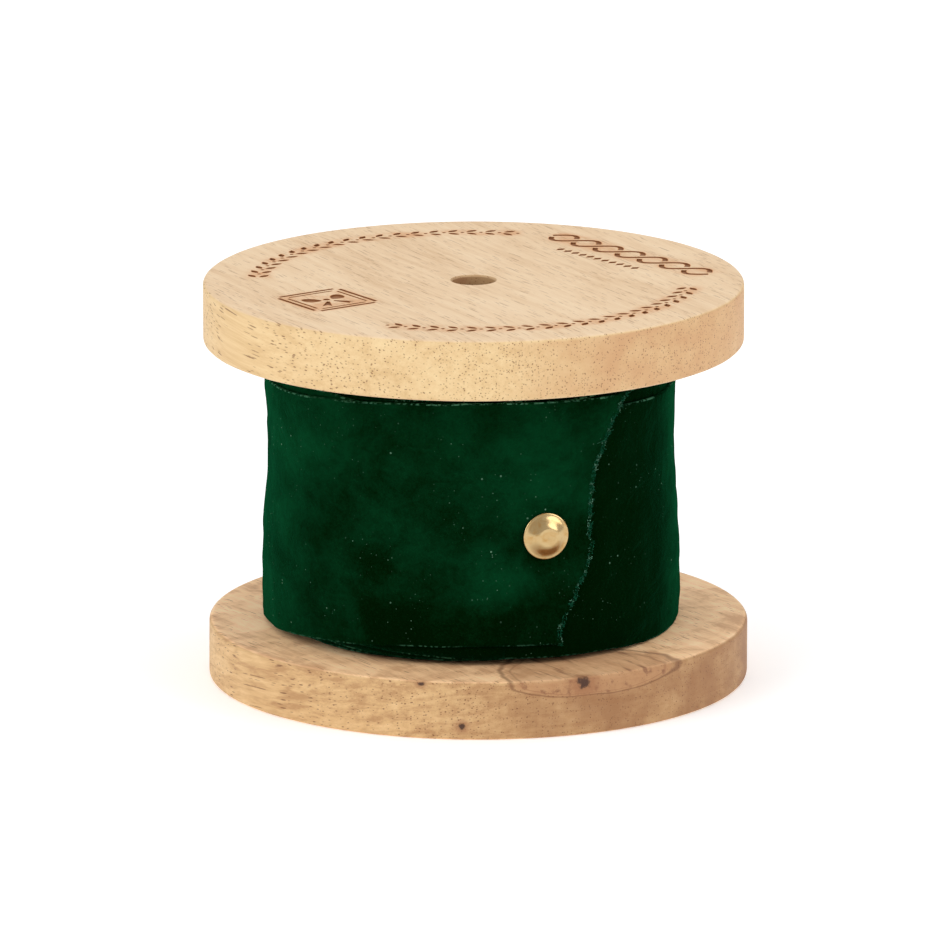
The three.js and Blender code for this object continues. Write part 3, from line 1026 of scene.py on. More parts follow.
@dataclass(frozen=True)
class BareWood:
    """Sanded, unvarnished hardwood with open pores.

    Args:
        name: Material name.
        light: Colour of the pale bands.
        middle: Colour of the common ground.
        dark: Colour of the dark bands.
        pore: Colour in the pores.
        side: Colour of the painted shade on the side turned from the light.
        painted_shade_angle: Direction of that shaded side, in degrees from the front towards +X.
        painted_shade_range: How far a surface faces it where the painted shade starts and is full.
        face: Tint of the sanded flat faces; it is painted light that brightens and whitens them.
        face_pores: How strongly the vessels show on them.
        grain_turn: Direction of the grain in plan, in degrees from +X.
        dip: How far the grain rises out of the level, in degrees.
        pith: Centre of the growth rings across the grain, in millimetres (across, up).
        ring_width: Mean width of a growth ring in millimetres.
        mottle: Strength of the broad figure.
        curl: Strength of the fine wavy figure.
        pore_range: Share of crowding where vessels start to open and are wide open.
        pore_layers: Vessels as (spread for each millimetre, shift of the pattern, widest radius).
        bore_shade_fade: Distances past the bore's wall where the painted shade of the bore starts
            to go and ends.
        painted_bore_shade: Colour of the painted shade in the deep bore.
        knots: Knots that show.
        heart: Its patch of heartwood, if any.
        ornament: Ornament burnt into the piece, if any; it carries a painted "burn" attribute.
        scorch: Colour of the burnt marks.
        halo: Colour round them.
    """

    name: str
    light: Colour
    middle: Colour
    dark: Colour
    pore: Colour
    side: Colour
    painted_shade_angle: float = 55.0
    painted_shade_range: Point2 = (0.6, 0.93)
    face: Colour = (1.06, 1.09, 1.31)
    face_pores: float = 0.6
    grain_turn: float = -62.0
    dip: float = -4.0
    pith: Point2 = (14.0, 130.0)
    ring_width: float = 7.0
    mottle: float = 0.3
    curl: float = 0.0
    pore_range: Point2 = (0.3, 0.62)
    pore_layers: tuple[Point3, ...] = ((0.95, 0.0, 0.16), (1.5, 31.7, 0.14))
    bore_shade_fade: Point2 = (0.1, 0.6)
    painted_bore_shade: Colour = field(default=srgb(140, 96, 58))
    knots: tuple[Knot, ...] = ()
    heart: Heartwood | None = None
    ornament: Ornament | None = None
    scorch: Colour = field(default=srgb(132, 84, 48))
    halo: Colour = field(default=srgb(204, 140, 86))

    def build(self) -> bpy.types.Material:
        """Makes the material.

        Returns:
            The wood.
        """
        bench = NodeBench(self.name)
        along = bench.mapping(bench.place(), (PER_MM, PER_MM, PER_MM))
        turned = bench.mapping(along, turn=-self.grain_turn)
        turned = bench.mapping(turned, dip=self.dip)
        flow = bench.drifted(turned, (0.03, 0.02, 0.02), 2.4)
        colour, fibre = self._ground(bench, turned, flow)
        level = bench.level()
        # Painted light: the level faces are brightened and whitened by the face tint.
        colour = bench.blend(level, colour, self.face, "MULTIPLY")
        # Painted shade: surfaces that face the side angle take the side colour, made patchy by
        # noise.
        painted_shade_facing = bench.step(bench.facing(self.painted_shade_angle), *self.painted_shade_range)
        patchy = bench.cloud(bench.mapping(flow, (0.02, 0.12, 0.12)), 1.0, 3.0)
        uneven = bench.step(patchy, 0.2, 0.75)
        share = bench.sums("MULTIPLY", painted_shade_facing, bench.sums("MULTIPLY_ADD", uneven, 0.5, 0.45))
        colour = bench.blend(share, colour, self.side)
        shown = bench.sums("MULTIPLY_ADD", level, self.face_pores - 1.0, 1.0)
        colour, pores = self._pores(bench, flow, colour, shown)
        if self.heart is not None:
            colour = self.heart.lay(bench, along, flow, colour)
        for knot in self.knots:
            colour = knot.lay(bench, along, colour)
        # Painted shade in the bore: the wall and mouth of the deep hole are darkened.
        x, y, _ = bench.split(along)
        reach = bench.vector_length(bench.gather(x, y, 0.0))
        near, far = self.bore_shade_fade
        painted_bore_shade = bench.step(reach, BORE_RADIUS + near, BORE_RADIUS + far, rising=False)
        colour = bench.blend(bench.sums("MULTIPLY", painted_bore_shade, 0.6), colour, self.painted_bore_shade)
        if self.ornament is not None:
            colour = self._burn(bench, along, colour)
        rough = bench.sums("MULTIPLY_ADD", fibre, 0.16, 0.5)
        fine = bench.sums("MULTIPLY_ADD", pores, -1.2, fibre)
        normal = bench.bump(fine, 0.1 * MM, 0.5)
        bench.set_shader(Base_Color=colour, Roughness=rough, Normal=normal)
        bench.set_shader(Specular_IOR_Level=0.32)
        return bench.material

    def _ground(
        self, bench: NodeBench, turned: Socket, flow: Socket
    ) -> tuple[Socket, Socket]:
        """Growth rings, figure and fine fibre.

        Args:
            bench: Bench of the material.
            turned: Place along the grain.
            flow: The same place with the grain's slow meander.

        Returns:
            The colour and the fibre's height.
        """
        warp = bench.cloud(bench.mapping(turned, (0.012, 0.04, 0.04)), 1.0, 2.0, 0.5)
        _, across, up = bench.split(flow)
        far = bench.gather(
            0.0,
            bench.sums("SUBTRACT", across, self.pith[0]),
            bench.sums("SUBTRACT", up, self.pith[1]),
        )
        reach = bench.sums("MULTIPLY_ADD", warp, 2.2 * self.ring_width, bench.vector_length(far))
        rings = bench.gather(bench.sums("DIVIDE", reach, self.ring_width), 0.0, 0.0)
        band = bench.cloud(rings, 1.0, 4.0, 0.6)
        streak = bench.cloud(bench.mapping(flow, (0.02, 0.55, 0.55)), 1.0, 4.0, 0.6)
        fibre = bench.cloud(bench.mapping(flow, (0.07, 3.2, 3.2)), 1.0, 3.0, 0.65)
        figure = bench.cloud(bench.mapping(flow, (0.03, 0.05, 0.05)), 1.0, 2.0, 0.5, 0.6)
        wave = bench.cloud(bench.mapping(flow, (0.12, 0.09, 0.6)), 1.0, 3.0, 0.55, 1.0)
        tone = bench.sums("MULTIPLY_ADD", band, 0.4, bench.sums("MULTIPLY", streak, 0.6))
        for part, weight in ((fibre, 0.3), (figure, self.mottle), (wave, self.curl)):
            tone = bench.sums("MULTIPLY_ADD", bench.sums("SUBTRACT", part, 0.5), weight, tone)
        colour = bench.ramp(tone, ((0.3, self.light), (0.5, self.middle), (0.7, self.dark)))
        return colour, fibre

    def _pores(
        self,
        bench: NodeBench,
        flow: Socket,
        colour: Socket,
        shown: Socket,
    ) -> tuple[Socket, Socket]:
        """Long open vessels: lines where they graze the surface, dots on the end grain.

        Args:
            bench: Bench of the material.
            flow: Place along the meandering grain.
            colour: Colour under them.
            shown: How strongly they show.

        Returns:
            The colour with the vessels, and their depth.
        """
        _, across, up = bench.split(flow)
        crowd = bench.cloud(bench.mapping(flow, (0.012, 0.11, 0.11)), 1.0, 3.0, 0.6)
        broken = bench.cloud(bench.mapping(flow, (0.3, 0.8, 0.8)), 1.0, 2.0)
        layers = []
        for spread, shift, widest in self.pore_layers:
            sideways, upward = bench.sums("ADD", across, shift), bench.sums("ADD", up, shift)
            spot = bench.gather(sideways, upward, 0.0)
            near, own = bench.cells(spot, spread, flat=True)
            size = bench.sums("MULTIPLY", bench.sums("ADD", own, crowd), 0.5)
            limit = bench.sums("MULTIPLY", bench.step(size, *self.pore_range), widest * spread)
            depth = bench.sums("SUBTRACT", limit, near)
            layers.append(bench.step(depth, -0.02, 0.05))
        open_part = bench.step(broken, 0.38, 0.54)
        pores = bench.sums("MAXIMUM", layers[0], bench.sums("MULTIPLY", layers[1], 0.75))
        pores = bench.sums("MULTIPLY", bench.sums("MULTIPLY", pores, open_part), shown)
        return bench.blend(bench.sums("MULTIPLY", pores, 0.78), colour, self.pore), pores

    def _burn(
        self, bench: NodeBench, along: Socket, colour: Socket
    ) -> Socket:
        """Burnt marks with a brown halo, from the painted attribute.

        Args:
            bench: Bench of the material.
            along: Place in millimetres.
            colour: Colour under them.

        Returns:
            The changed colour.
        """
        burn = bench.painted("burn")
        speck = bench.cloud(along, 1.6, 3.0, 0.65)
        smoke = bench.sums("MULTIPLY", self.ornament.glow(bench, along), 0.6)
        smoked = bench.blend(smoke, colour, self.halo)
        halo = bench.sums("MULTIPLY", bench.step(burn, 0.0, 0.55), 0.9)
        ringed = bench.blend(halo, smoked, self.halo)
        deep = bench.step(bench.sums("MULTIPLY_ADD", speck, 0.5, burn), 0.8, 1.2)
        return bench.blend(bench.sums("MULTIPLY", deep, 0.88), ringed, self.scorch)


@dataclass(frozen=True)
class CrushedVelvet:
    """Pile velvet with crushed patches, lint and woven edges.

    The piece carries a painted "nap" attribute: 0 looks into the pile and 1 sees it laid over.
    Besides the pile's crushing it holds painted sheen towards the silhouettes and painted shade on
    the turns underneath.

    Args:
        name: Material name.
        deep: Colour looking into the pile.
        lifted: Colour where the pile leans over.
        sheen: Tint of the light that grazes the pile.
        edge: Colour of the woven edge.
        lint: Colour of the lint.
        lean_range: Lean where the pile starts to lift and lies right over.
        grain: Strength of the pile's fine grain.
        lint_layers: Lint as (specks for each millimetre, largest share of a cell, strength).
        edge_fade: Share of the width from the middle where the woven edge starts and is full.
        lower_share: Strength of the lower woven edge against the upper.
    """

    name: str = "crushed_velvet"
    deep: Colour = field(default=srgb(2, 17, 1))
    lifted: Colour = field(default=srgb(6, 59, 31))
    sheen: Colour = field(default=(0.02, 0.36, 0.17))
    edge: Colour = field(default=srgb(74, 128, 102))
    lint: Colour = field(default=srgb(104, 142, 118))
    lean_range: Point2 = (0.14, 1.12)
    grain: float = 0.6
    lint_layers: tuple[Point3, ...] = ((0.5, 0.13, 0.75), (0.95, 0.15, 0.5))
    edge_fade: Point2 = (0.4935, 0.4965)
    lower_share: float = 0.45

    def build(self) -> bpy.types.Material:
        """Makes the material.

        Returns:
            The velvet.
        """
        bench = NodeBench(self.name)
        place = bench.mapping(bench.place(), (PER_MM, PER_MM, PER_MM))
        crush = bench.cloud(bench.mapping(place, (0.085, 0.085, 0.1)), 1.0, 5.0, 0.62, 0.9)
        brushed = bench.cloud(bench.mapping(place, (0.3, 0.3, 0.34)), 1.0, 4.0, 0.62, 1.1)
        pile = bench.cloud(place, 1.9, 4.0, 0.8)
        lean = bench.sums("MULTIPLY_ADD", crush, 0.6, bench.sums("MULTIPLY", brushed, 0.4))
        # The painted attribute brings painted sheen and painted shade into the pile's lean.
        lean = bench.sums("ADD", lean, bench.sums("SUBTRACT", bench.painted("nap_and_painted_light"), 0.5))
        share = bench.step(lean, *self.lean_range)
        grainy = bench.sums("SUBTRACT", pile, 0.5)
        share = bench.sums("MULTIPLY_ADD", grainy, self.grain, share)
        share = bench.sums("MAXIMUM", share, 0.0)
        colour = bench.blend(share, self.deep, self.lifted)
        colour = self._lint(bench, place, colour)
        colour = self._woven_edge(bench, place, colour)
        folds = bench.bump(crush, 1.6 * MM, 0.5)
        folds = bench.bump(brushed, 0.5 * MM, 0.5, folds)
        normal = bench.bump(pile, 0.2 * MM, 0.7, folds)
        bench.set_shader(Base_Color=colour, Roughness=0.95, Normal=normal, Specular_IOR_Level=0.0)
        bench.set_shader(Sheen_Weight=0.2, Sheen_Roughness=0.4, Sheen_Tint=self.sheen)
        return bench.material

    def _lint(
        self, bench: NodeBench, place: Socket, colour: Socket
    ) -> Socket:
        """Scatters specks of lint.

        Args:
            bench: Bench of the material.
            place: Place in millimetres.
            colour: Colour under them.

        Returns:
            The changed colour.
        """
        gathered = bench.step(bench.cloud(place, 0.11, 3.0), 0.46, 0.66)
        for scale, reach, share in self.lint_layers:
            near, own = bench.cells(place, scale)
            limit = bench.sums("MULTIPLY", own, reach)
            speck = bench.step(bench.sums("SUBTRACT", limit, near), 0.0, 0.03)
            dust = bench.sums("MULTIPLY", bench.sums("MULTIPLY", speck, gathered), share)
            colour = bench.blend(dust, colour, self.lint)
        return colour

    def _woven_edge(
        self, bench: NodeBench, place: Socket, colour: Socket
    ) -> Socket:
        """Lays the thin pale threads of the woven edges.

        Args:
            bench: Bench of the material.
            place: Place in millimetres.
            colour: Colour under them.

        Returns:
            The changed colour.
        """
        _, height, _ = bench.split(bench.strip("strip"))
        side = bench.sums("ABSOLUTE", bench.sums("SUBTRACT", height, 0.5))
        woven = bench.step(side, *self.edge_fade)
        stitched = bench.step(bench.cloud(place, 1.1, 2.0), 0.44, 0.6)
        shown = bench.step(bench.cloud(place, 0.09, 2.0), 0.36, 0.6)
        raised = bench.step(height, 0.4, 0.6)
        upper = bench.sums("MULTIPLY_ADD", raised, 1.0 - self.lower_share, self.lower_share)
        share = bench.sums("MULTIPLY", bench.sums("MULTIPLY", woven, stitched), shown)
        return bench.blend(bench.sums("MULTIPLY", share, upper), colour, self.edge)


@dataclass(frozen=True)
class FrayedThread:
    """Pale green thread at the cut edge, from nearly the pile's colour to bare cotton.

    Args:
        name: Material name.
        pale: Colour of the bare cotton.
        dyed: Colour of the dyed thread.
    """

    name: str = "frayed_thread"
    pale: Colour = field(default=srgb(124, 172, 146))
    dyed: Colour = field(default=srgb(12, 78, 54))

    def build(self) -> bpy.types.Material:
        """Makes the material.

        Returns:
            The thread.
        """
        bench = NodeBench(self.name)
        place = bench.mapping(bench.place(), (PER_MM, PER_MM, PER_MM))
        shade = bench.cloud(place, 0.55, 3.0, 0.6)
        fine = bench.cloud(place, 4.0, 2.0)
        colour = bench.blend(bench.step(shade, 0.5, 0.7), self.dyed, self.pale)
        normal = bench.bump(fine, 0.05 * MM, 0.5)
        bench.set_shader(Base_Color=colour, Roughness=0.85, Normal=normal, Specular_IOR_Level=0.1)
        return bench.material


@dataclass(frozen=True)
class PressedMetal:
    """Bright pressed or drawn metal with light handling marks.

    Args:
        name: Material name.
        colour: Colour of the metal.
        tarnish: Colour where it has dulled.
        rough: Mean roughness.
        painted_reflection: Strength of the painted reflection of dark surroundings on the faces
            that look down.
        reflection_range: Upward share of the direction where that painted reflection is full and
            where it has gone.
        reflected_dark: Colour of that painted reflection.
    """

    name: str
    colour: Colour
    tarnish: Colour
    rough: float
    painted_reflection: float = 0.0
    reflection_range: Point2 = (-0.42, -0.05)
    reflected_dark: Colour = field(default=srgb(112, 74, 36))

    def build(self) -> bpy.types.Material:
        """Makes the material.

        Returns:
            The metal.
        """
        bench = NodeBench(self.name)
        place = bench.mapping(bench.place(), (PER_MM, PER_MM, PER_MM))
        film = bench.cloud(place, 0.5, 4.0, 0.6, 0.6)
        mark = bench.cloud(bench.mapping(place, (4.0, 0.5, 4.0), 30.0), 1.0, 3.0, 0.6)
        colour = bench.blend(bench.step(film, 0.4, 0.75), self.colour, self.tarnish)
        # Painted reflection: faces that look down take a dark colour, standing in for the dark
        # cloth and wood that they would reflect.
        upward = bench.split(bench.normal())[2]
        downward = bench.step(upward, *self.reflection_range, rising=False)
        under = bench.sums("MULTIPLY", downward, self.painted_reflection)
        colour = bench.blend(under, colour, self.reflected_dark)
        rough = bench.sums("MULTIPLY_ADD", film, 0.16, self.rough - 0.06)
        normal = bench.bump(mark, 0.02 * MM, 0.25)
        bench.set_shader(Base_Color=colour, Metallic=1.0, Roughness=rough, Normal=normal)
        return bench.material


def grown(outline: Sequence[Point2], distance: float) -> list[Point2]:
    """Moves an anticlockwise outline outwards.

    Args:
        outline: Closed outline.
        distance: How far each side moves.

    Returns:
        The moved outline, with its sharp corners limited.
    """
    made = []
    count = len(outline)
    for index, (x, y) in enumerate(outline):
        before, after = outline[index - 1], outline[(index + 1) % count]
        first = Vector((y - before[1], before[0] - x)).normalized()
        second = Vector((after[1] - y, x - after[0])).normalized()
        middle = first + second
        if middle.length < 0.35:
            middle = Vector((x - before[0], y - before[1]))
        middle.normalize()
        reach = distance / max(0.92, middle.dot(first))
        made.append((x + middle.x * reach, y + middle.y * reach))
    return made


@dataclass
class Flange:
    """Turned disc with eased edges and a bore, in millimetres.

    Args:
        node: CAD node that it stands for.
        wood: Its wood.
        slot: Name of a look slot; not used.
        socket_up: Whether the core's socket is in its upper face.
        ornament: Ornament burnt into its upper face, if any.
        bore_chamfer: Size of the chamfer at the bore's mouth.
        socket_radius: Radius of the core's socket.
        socket_depth: Depth of the core's socket.
        edge_radius: Rounding of the rim's edges.
        edge_facets: Number of facets across that rounding.
        guard: Flat kept inside the rounding.
        burn_depth: Depth of the burnt marks.
        halo_width: Width of the scorched ring round them.
        lip_burn: How burnt the edge of a mark is.
        steps: Number of steps round the disc.
        rim_shift: How far the rim sits off the axis.
        hand_work: Uneven stock that sanding leaves on the rim, as (amount, size of its lumps).
    """

    node: str
    wood: BareWood
    slot: str
    socket_up: bool
    ornament: Ornament | None = None
    bore_chamfer: float = 0.4
    socket_radius: float = 21.3
    socket_depth: float = 3.0
    edge_radius: float = 0.9
    edge_facets: int = 5
    guard: float = 0.7
    burn_depth: float = 0.35
    halo_width: float = 0.26
    lip_burn: float = 0.62
    steps: int = 256
    rim_shift: float = 0.0
    hand_work: tuple[Point2, ...] = ((0.12, 26.0), (0.042, 7.0))

    def build(self) -> Piece:
        """Builds and dresses the disc.

        Returns:
            The finished piece.
        """
        low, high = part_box(self.node)
        radius = (high.x - low.x) / 2.0 * PER_MM
        bottom, top = low.z * PER_MM, high.z * PER_MM
        made = self._disc(radius, bottom, top)
        if self.ornament is not None:
            self._engrave(made, radius, top)
        self._hand_finish(made, radius, (bottom + top) / 2.0)
        bmesh.ops.scale(made, vec=(MM, MM, MM), verts=made.verts)
        name = self.node + "_wood"
        piece = MeshMaker.piece(name, made, [self.wood.build()], Body.SPOOL, Shading.CRISP)
        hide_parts(self.node)
        return piece

    def _disc(self, radius: float, bottom: float, top: float) -> bmesh.types.BMesh:
        """Turns the disc with its bore and socket.

        Args:
            radius: Radius of the rim.
            bottom: Height of the lower face.
            top: Height of the upper face.

        Returns:
            A bmesh of the disc.
        """
        inner, outer = (bottom, top) if not self.socket_up else (top, bottom)
        floor = inner + (self.socket_depth if inner < outer else -self.socket_depth)
        mouth = BORE_RADIUS + self.bore_chamfer
        lean = self.bore_chamfer if outer > inner else -self.bore_chamfer
        face_edge = radius - self.edge_radius - self.guard
        made = MeshMaker.turn(
            [
                (self.socket_radius, inner),
                (face_edge, inner),
                (radius, inner),
                (radius, outer),
                (face_edge, outer),
                (mouth, outer),
                (BORE_RADIUS, outer - lean),
                (BORE_RADIUS, floor),
                (self.socket_radius, floor),
            ],
            self.steps,
        )

        def on_rim(edge: bmesh.types.BMEdge) -> bool:
            """Picks the two outer edges of the rim.

            Args:
                edge: Edge to test.

            Returns:
                Whether it runs round the rim.
            """
            first, second = (vert.co for vert in edge.verts)
            outermost = all(abs(math.hypot(co.x, co.y) - radius) < 1e-3 for co in (first, second))
            return outermost and abs(first.z - second.z) < SAME_LEVEL

        MeshMaker.round_edges(made, on_rim, self.edge_radius, self.edge_facets)
        return made

    def _engrave(self, made: bmesh.types.BMesh, radius: float, top: float) -> None:
        """Opens the upper face and sinks the ornament into it.

        Args:
            made: Bmesh of the disc.
            radius: Radius of the rim.
            top: Height of the upper face.
        """
        face_edge = radius - self.edge_radius - self.guard
        face_middle = (face_edge + BORE_RADIUS) / 2.0
        flat = [
            face
            for face in made.faces
            if all(abs(vert.co.z - top) < SAME_LEVEL for vert in face.verts)
            and abs(math.hypot(*face.calc_center_median()[:2]) - face_middle) < 3.0
        ]
        bmesh.ops.delete(made, geom=flat, context="FACES_ONLY")
        burn = made.loops.layers.float.new("burn")
        rims = [
            edge
            for edge in made.edges
            if edge.is_boundary and abs(edge.verts[0].co.z - top) < SAME_LEVEL
        ]
        for outline in self.ornament.marks():
            rims += self._mark(made, outline, top, burn)
        bmesh.ops.triangle_fill(
            made, use_beauty=True, use_dissolve=False, edges=rims, normal=(0, 0, 1)
        )

    def _mark(
        self,
        made: bmesh.types.BMesh,
        outline: Sequence[Point2],
        top: float,
        burn: bmesh.types.BMLayerItem,
    ) -> list[bmesh.types.BMEdge]:
        """Adds one sunk mark with its halo ring.

        Args:
            made: Bmesh of the flange.
            outline: Outline of the mark.
            top: Height of the face.
            burn: Painted layer.

        Returns:
            The edges of the halo's outer outline.
        """
        wide = [(x, y, top) for x, y in grown(outline, self.halo_width)]
        rim = MeshMaker.chain(made, wide, True)
        lip = MeshMaker.chain(made, [(x, y, top) for x, y in outline], True)
        lip_verts = {vert for edge in lip for vert in edge.verts}
        ring = bmesh.ops.bridge_loops(made, edges=rim + lip)["faces"]
        for face in ring:
            for loop in face.loops:
                loop[burn] = self.lip_burn if loop.vert in lip_verts else 0.0
        floor = bmesh.ops.contextual_create(made, geom=lip)["faces"]
        sunk = bmesh.ops.extrude_face_region(made, geom=floor)["geom"]
        deep = [item for item in sunk if isinstance(item, bmesh.types.BMVert)]
        bmesh.ops.translate(made, vec=(0.0, 0.0, -self.burn_depth), verts=deep)
        bmesh.ops.delete(made, geom=[f for f in floor if f.is_valid], context="FACES_ONLY")
        for vert in deep:
            for face in vert.link_faces:
                for loop in face.loops:
                    loop[burn] = 1.0
        return rim

    def _hand_finish(self, made: bmesh.types.BMesh, radius: float, middle: float) -> None:
        """Lets the rim wander slightly, as hand sanding leaves it, and shifts it.

        Args:
            made: Bmesh of the disc.
            radius: Radius of the rim.
            middle: Height of the disc's middle, which seeds the pattern.
        """
        bmesh.ops.recalc_face_normals(made, faces=made.faces)
        layers = [
            Lumps(amount, size, middle * 0.1 * (number + 1))
            for number, (amount, size) in enumerate(self.hand_work)
        ]
        for vert in made.verts:
            reach = math.hypot(vert.co.x, vert.co.y)
            if reach < radius - self.edge_radius - self.guard - 0.05:
                continue
            shift = sum(layer.at(vert.co) for layer in layers)
            vert.co.x *= 1.0 + shift / reach
            vert.co.y *= 1.0 + shift / reach
            vert.co.x += self.rim_shift


@dataclass(frozen=True)
class LaidPile:
    """How far the pile looks laid over round the spool, as random crushing with painted sheen and
    painted shade.

    Angles are degrees round the spindle from the front towards +X. An Ease that ends in _part
    says where on the ribbon the one before it counts.
    """

    middle: float = 0.5
    lumps: tuple[Lumps, ...] = (Lumps(0.24, 24.0, 21.0), Lumps(0.2, 9.0, 23.0))
    # Painted sheen towards the left silhouette.
    left: Ease = Ease(0.28, -38.0, -84.0)
    left_sheen_part: Ease = Ease(1.0, -178.0, -110.0)
    # Darker low at the front.
    low_band: Ease = Ease(-0.17, 34.0, 20.0)
    low_band_part: Ease = Ease(1.0, 70.0, 40.0)
    # Darker on the turn beneath, beside the cut.
    under_cut: Ease = Ease(-0.55, 76.0, 52.0)
    under_cut_part: Ease = Ease(1.0, 290.0, 320.0)
    # Painted sheen towards the right silhouette.
    right: Ease = Ease(0.3, 70.0, 86.0)
    right_sheen_part: Ease = Ease(1.0, 160.0, 110.0)
    # Painted shade on the lower part of the turns under the last one.
    wound: Ease = Ease(-0.35, 0.7, 0.3)
    wound_part: Ease = Ease(1.0, 380.0, 386.0)

    def at(self, angle: float, share: float, back: float, point: Vector) -> float:
        """How far the pile is laid over.

        Args:
            angle: Angle round the spindle.
            share: Share of the ribbon's width.
            back: Degrees back from the cut end.
            point: The point in millimetres.

        Returns:
            0 where one looks into the pile and 1 where it is laid over.
        """
        turned = (angle + 180.0) % 360.0 - 180.0
        value = self.middle + sum(layer.at(point) for layer in self.lumps)
        value += self.left.at(turned) * self.left_sheen_part.at(turned)
        value += self.low_band.at(point.z) * self.low_band_part.at(abs(turned))
        if turned > 0.0:
            value += self.under_cut.at(turned) * self.under_cut_part.at(back)
            value += self.right.at(turned) * self.right_sheen_part.at(turned)
        value += self.wound.at(share) * self.wound_part.at(back)
        return min(1.0, max(0.0, value))


@dataclass(frozen=True)
class LooseThreads:
    """Threads that fray out of the cut. A pair is a range that draws are taken from.

    Args:
        seed: Seed of the draws.
        tries: Number of places tried.
        crowding: Power that crowds them towards the lower edge.
        gaps: Level that a tuft has to beat to stand.
        whole_above: Share of the width above which there are no gaps.
        start: Degrees past the cut where a thread starts.
        sink: Height over the cloth where it starts, in millimetres.
        across: Its aim along the ribbon.
        rise: Its aim up the spool.
        lift: Its aim away from the cloth.
        reach: Its length in millimetres.
        long_above: Draw above which a thread is a long one.
        long_times: How much longer it is then.
        bow: Its bow as a share of its length.
        radius: Its radius in millimetres.
        strays: Single long threads as (share of the width, length, how far they drop).
        stray_bow: Their bow as a share of their length.
        stray_radius: Their radius in millimetres.
        stray_lift: Height over the cloth where they start.
    """

    seed: int = 41
    tries: int = 1500
    crowding: float = 0.9
    gaps: Point2 = (-0.75, 0.25)
    whole_above: float = 0.95
    start: Point2 = (-1.25, 0.15)
    sink: Point2 = (-0.2, 0.12)
    across: Point2 = (-0.5, 1.0)
    rise: Point2 = (-1.0, 1.0)
    lift: Point2 = (-0.1, 0.5)
    reach: Point2 = (0.15, 0.55)
    long_above: float = 0.95
    long_times: float = 1.9
    bow: Point2 = (-0.35, 0.35)
    radius: Point2 = (0.035, 0.085)
    strays: tuple[Point3, ...] = ((0.84, 3.6, -0.45), (0.985, 1.3, -0.9), (0.97, 1.0, 0.2))
    stray_bow: float = 0.18
    stray_radius: float = 0.06
    stray_lift: float = 0.1


